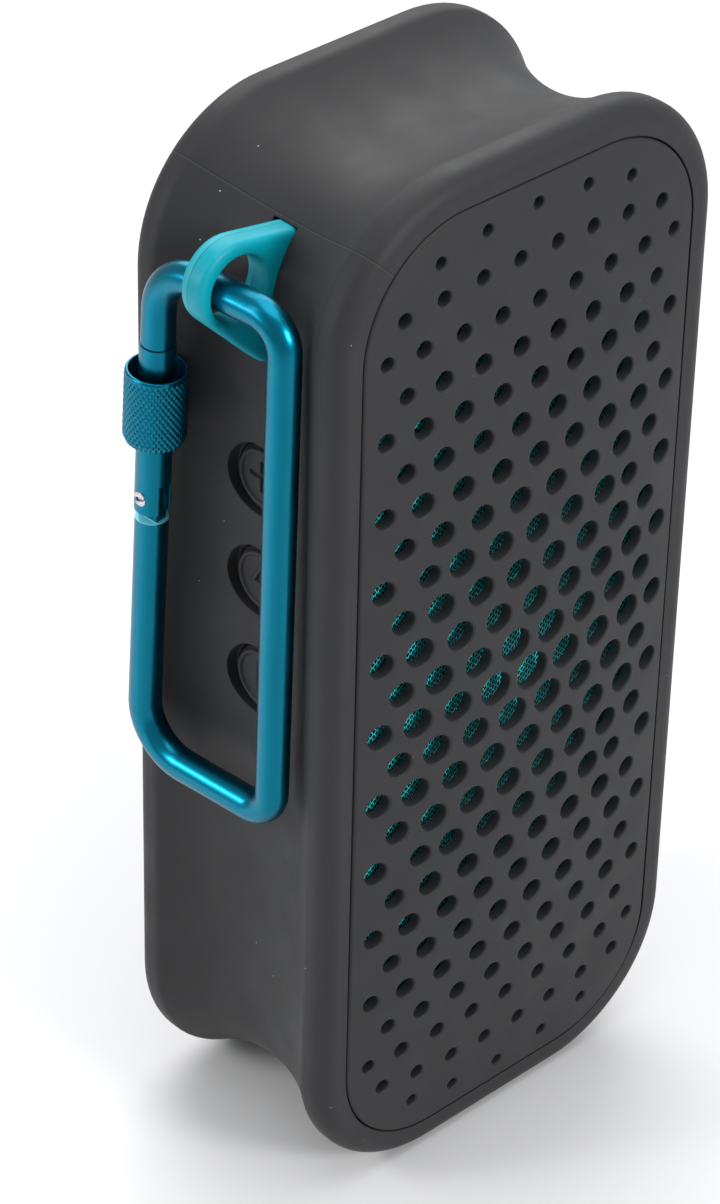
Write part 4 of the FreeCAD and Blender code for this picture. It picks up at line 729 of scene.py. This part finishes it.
def play_mark(x, y):
    line_reach, line_rise, line_width, core_reach = 3.2, 0.22, 0.2, 1.8
    line = share_of(1.0 - abs(triangle(x, y, line_reach)) / line_width)
    core = share_of(0.5 - triangle(x, y, core_reach) / MARK_EDGE)
    return line_rise * line - MARK_DEPTH * core


def minus_mark(x, y):
    half_length, half_width, line_rise, line_width = 2.8, 0.8, 0.2, 0.18
    inset, depth, slope = 0.2, 0.3, 0.14
    edge = bar(x, y, half_length, half_width)
    return line_rise * share_of(1.0 - abs(edge) / line_width) - depth * share_of((-edge - inset) / slope)


def make_button(name, body, mark, material):
    """Cap turned about its travel: plunger, flange, stem, rolled lip and a crowned face with its mark."""
    low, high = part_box(name)
    place = Vector((high.x, (low.y + high.y) / 2, (low.z + high.z) / 2))
    sides = 128
    # (radius, rise) in mm: switch plunger, guide flange, stem, then over the lip to the rim of the face
    wall = [(1.2, 0.0), (1.2, 0.6), (6.2, 0.6), (6.2, 1.4), (5.4, 1.4), (5.4, 2.5), (5.3, 2.66), (5.1, 2.74),
            (4.94, 2.84), (4.88, 3.0), (4.86, 3.26), (4.8, 3.46), (4.66, 3.58), (4.48, 3.62), (4.3, 3.56),
            (4.18, 3.42), (4.12, 3.24), (4.04, 3.12), (3.92, 3.08)]
    face_radius, face_rise, crown, face_step, face_rings = 3.84, 3.08, 0.006, 0.08, 48
    face = [face_radius - face_step * k for k in range(face_rings)]
    verts = [(0.0, 0.0, 0.0)]
    for radius, rise in wall + [(r, None) for r in face]:
        for k in range(sides):
            angle = 2 * math.pi * k / sides
            y, z = radius * math.cos(angle), radius * math.sin(angle)
            if rise is None:
                height = face_rise + crown * (face_radius ** 2 - radius ** 2) + mark(z, y)
            else:
                height = rise
            verts.append((-height, y, z))
    verts.append((-(face_rise + crown * face_radius ** 2 + mark(0.0, 0.0)), 0.0, 0.0))
    rows = [[1 + row * sides + k for k in range(sides)] for row in range(len(wall) + len(face))]
    faces = [(0, rows[0][(k + 1) % sides], rows[0][k]) for k in range(sides)]
    faces += bands(rows)
    faces += [(rows[-1][k], rows[-1][(k + 1) % sides], len(verts) - 1) for k in range(sides)]
    item = add_mesh(name + "_cap", [place + Vector(v) * MM for v in verts], faces, material, body,
                    smooth_angle=48)
    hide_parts(name)


def make_rivet(material):
    """Gate rivet with bevelled ends and a slot across the outer one."""
    axis = Vector(JOINTS["gate_hinge"]["axis"]).normalized()
    along = Vector(JOINTS["sleeve_slide"]["axis"]).normalized()
    side = along.cross(axis)
    pivot = Vector(JOINTS["gate_hinge"]["pos_m"])
    local = [v.co - pivot for v in NODES["gate_pivot_pin"].data.vertices]
    half = max(p.dot(axis) for p in local)
    radius = max((p - axis * p.dot(axis)).length for p in local)
    slot_half, slot_depth, slot_edge, crown, bevel = 0.3 * MM, 0.5 * MM, 0.14 * MM, 0.12 * MM, 0.15 * MM
    across_slot, plain_end = (0.39, 0.92), 0.55 * MM
    sides, cap_rings, verts, rings = 72, 16, [], []

    def ring(size, rise, slotted):
        rings.append([len(verts) + k for k in range(sides)])
        for k in range(sides):
            angle = 2 * math.pi * k / sides
            a, b = size * math.cos(angle), size * math.sin(angle)
            cross = abs(b * across_slot[1] + a * across_slot[0])
            sunk = slot_depth * share_of(0.5 + (slot_half - cross) / slot_edge) if slotted else 0.0
            verts.append(pivot + side * a + along * b - axis * (rise - sunk))

    ring(0.05 * radius, -half, False)
    ring(radius - bevel, -half, False)
    ring(radius, -half + bevel, False)
    ring(radius, half - plain_end, False)
    ring(radius, half - crown, True)
    for step in range(1, cap_rings):
        share = 1 - step / cap_rings
        ring(radius * share, half - crown * share ** 4, True)
    faces = [tuple(reversed(rings[0]))] + bands(rings) + [tuple(rings[-1])]
    item = add_mesh("slotted_rivet", verts, [tuple(reversed(f)) for f in faces], material, "carabiner",
                    smooth_angle=40)
    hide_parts("gate_pivot_pin")


def make_loop(material):
    """Moulded loop: the CAD shape with every edge rolled over as a silicone moulding has."""
    source = NODES["carry_loop"]
    rough = bpy.data.objects.new("loop_blank", source.data.copy())
    bpy.context.scene.collection.objects.link(rough)
    rough.matrix_world = source.matrix_world
    voxel = rough.modifiers.new("even", "REMESH")
    voxel.mode = "VOXEL"
    voxel.voxel_size = 0.24 * MM
    roll = rough.modifiers.new("roll", "SMOOTH")
    roll.factor = 0.5
    roll.iterations = 60
    bpy.context.view_layer.update()
    built = rough.evaluated_get(bpy.context.evaluated_depsgraph_get()).to_mesh()
    points = [rough.matrix_world @ v.co for v in built.vertices]
    faces = [tuple(p.vertices) for p in built.polygons]
    bpy.data.objects.remove(rough)
    item = add_mesh("moulded_loop", points, faces, material, "housing")
    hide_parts("carry_loop")


# ---------------------------------------------------------------- floor
def make_floor():
    size = 6.0
    mesh = bpy.data.meshes.new("floor")
    corners = [(-size, -size, 0), (size, -size, 0), (size, size, 0), (-size, size, 0)]
    mesh.from_pydata(corners, [], [(0, 1, 2, 3)])
    shade = Shader("floor_white")
    tone = shade.mix(shade.noise(6.0, 2.0), (0.56, 0.56, 0.565), (0.58, 0.58, 0.585))
    shade.link(tone, shade.bsdf.inputs["Base Color"])
    shade.bsdf.inputs["Roughness"].default_value = 0.55
    mesh.materials.append(shade.material)
    item = bpy.data.objects.new("floor", mesh)
    bpy.context.scene.collection.objects.link(item)


make_camera()
make_studio()
materials = make_materials()
dress_nodes(materials)
make_grille(materials["grille_rubber"])
make_cloth(materials)
make_sleeve(materials["knurl"])
for button, rider, mark in (("volume_up_button", "volume_up", plus_mark), ("play_button", "play", play_mark),
                            ("volume_down_button", "volume_down", minus_mark)):
    make_button(button, rider, mark, materials["button_rubber"])
make_loop(materials["silicone"])
make_rivet(materials["steel"])
make_floor()
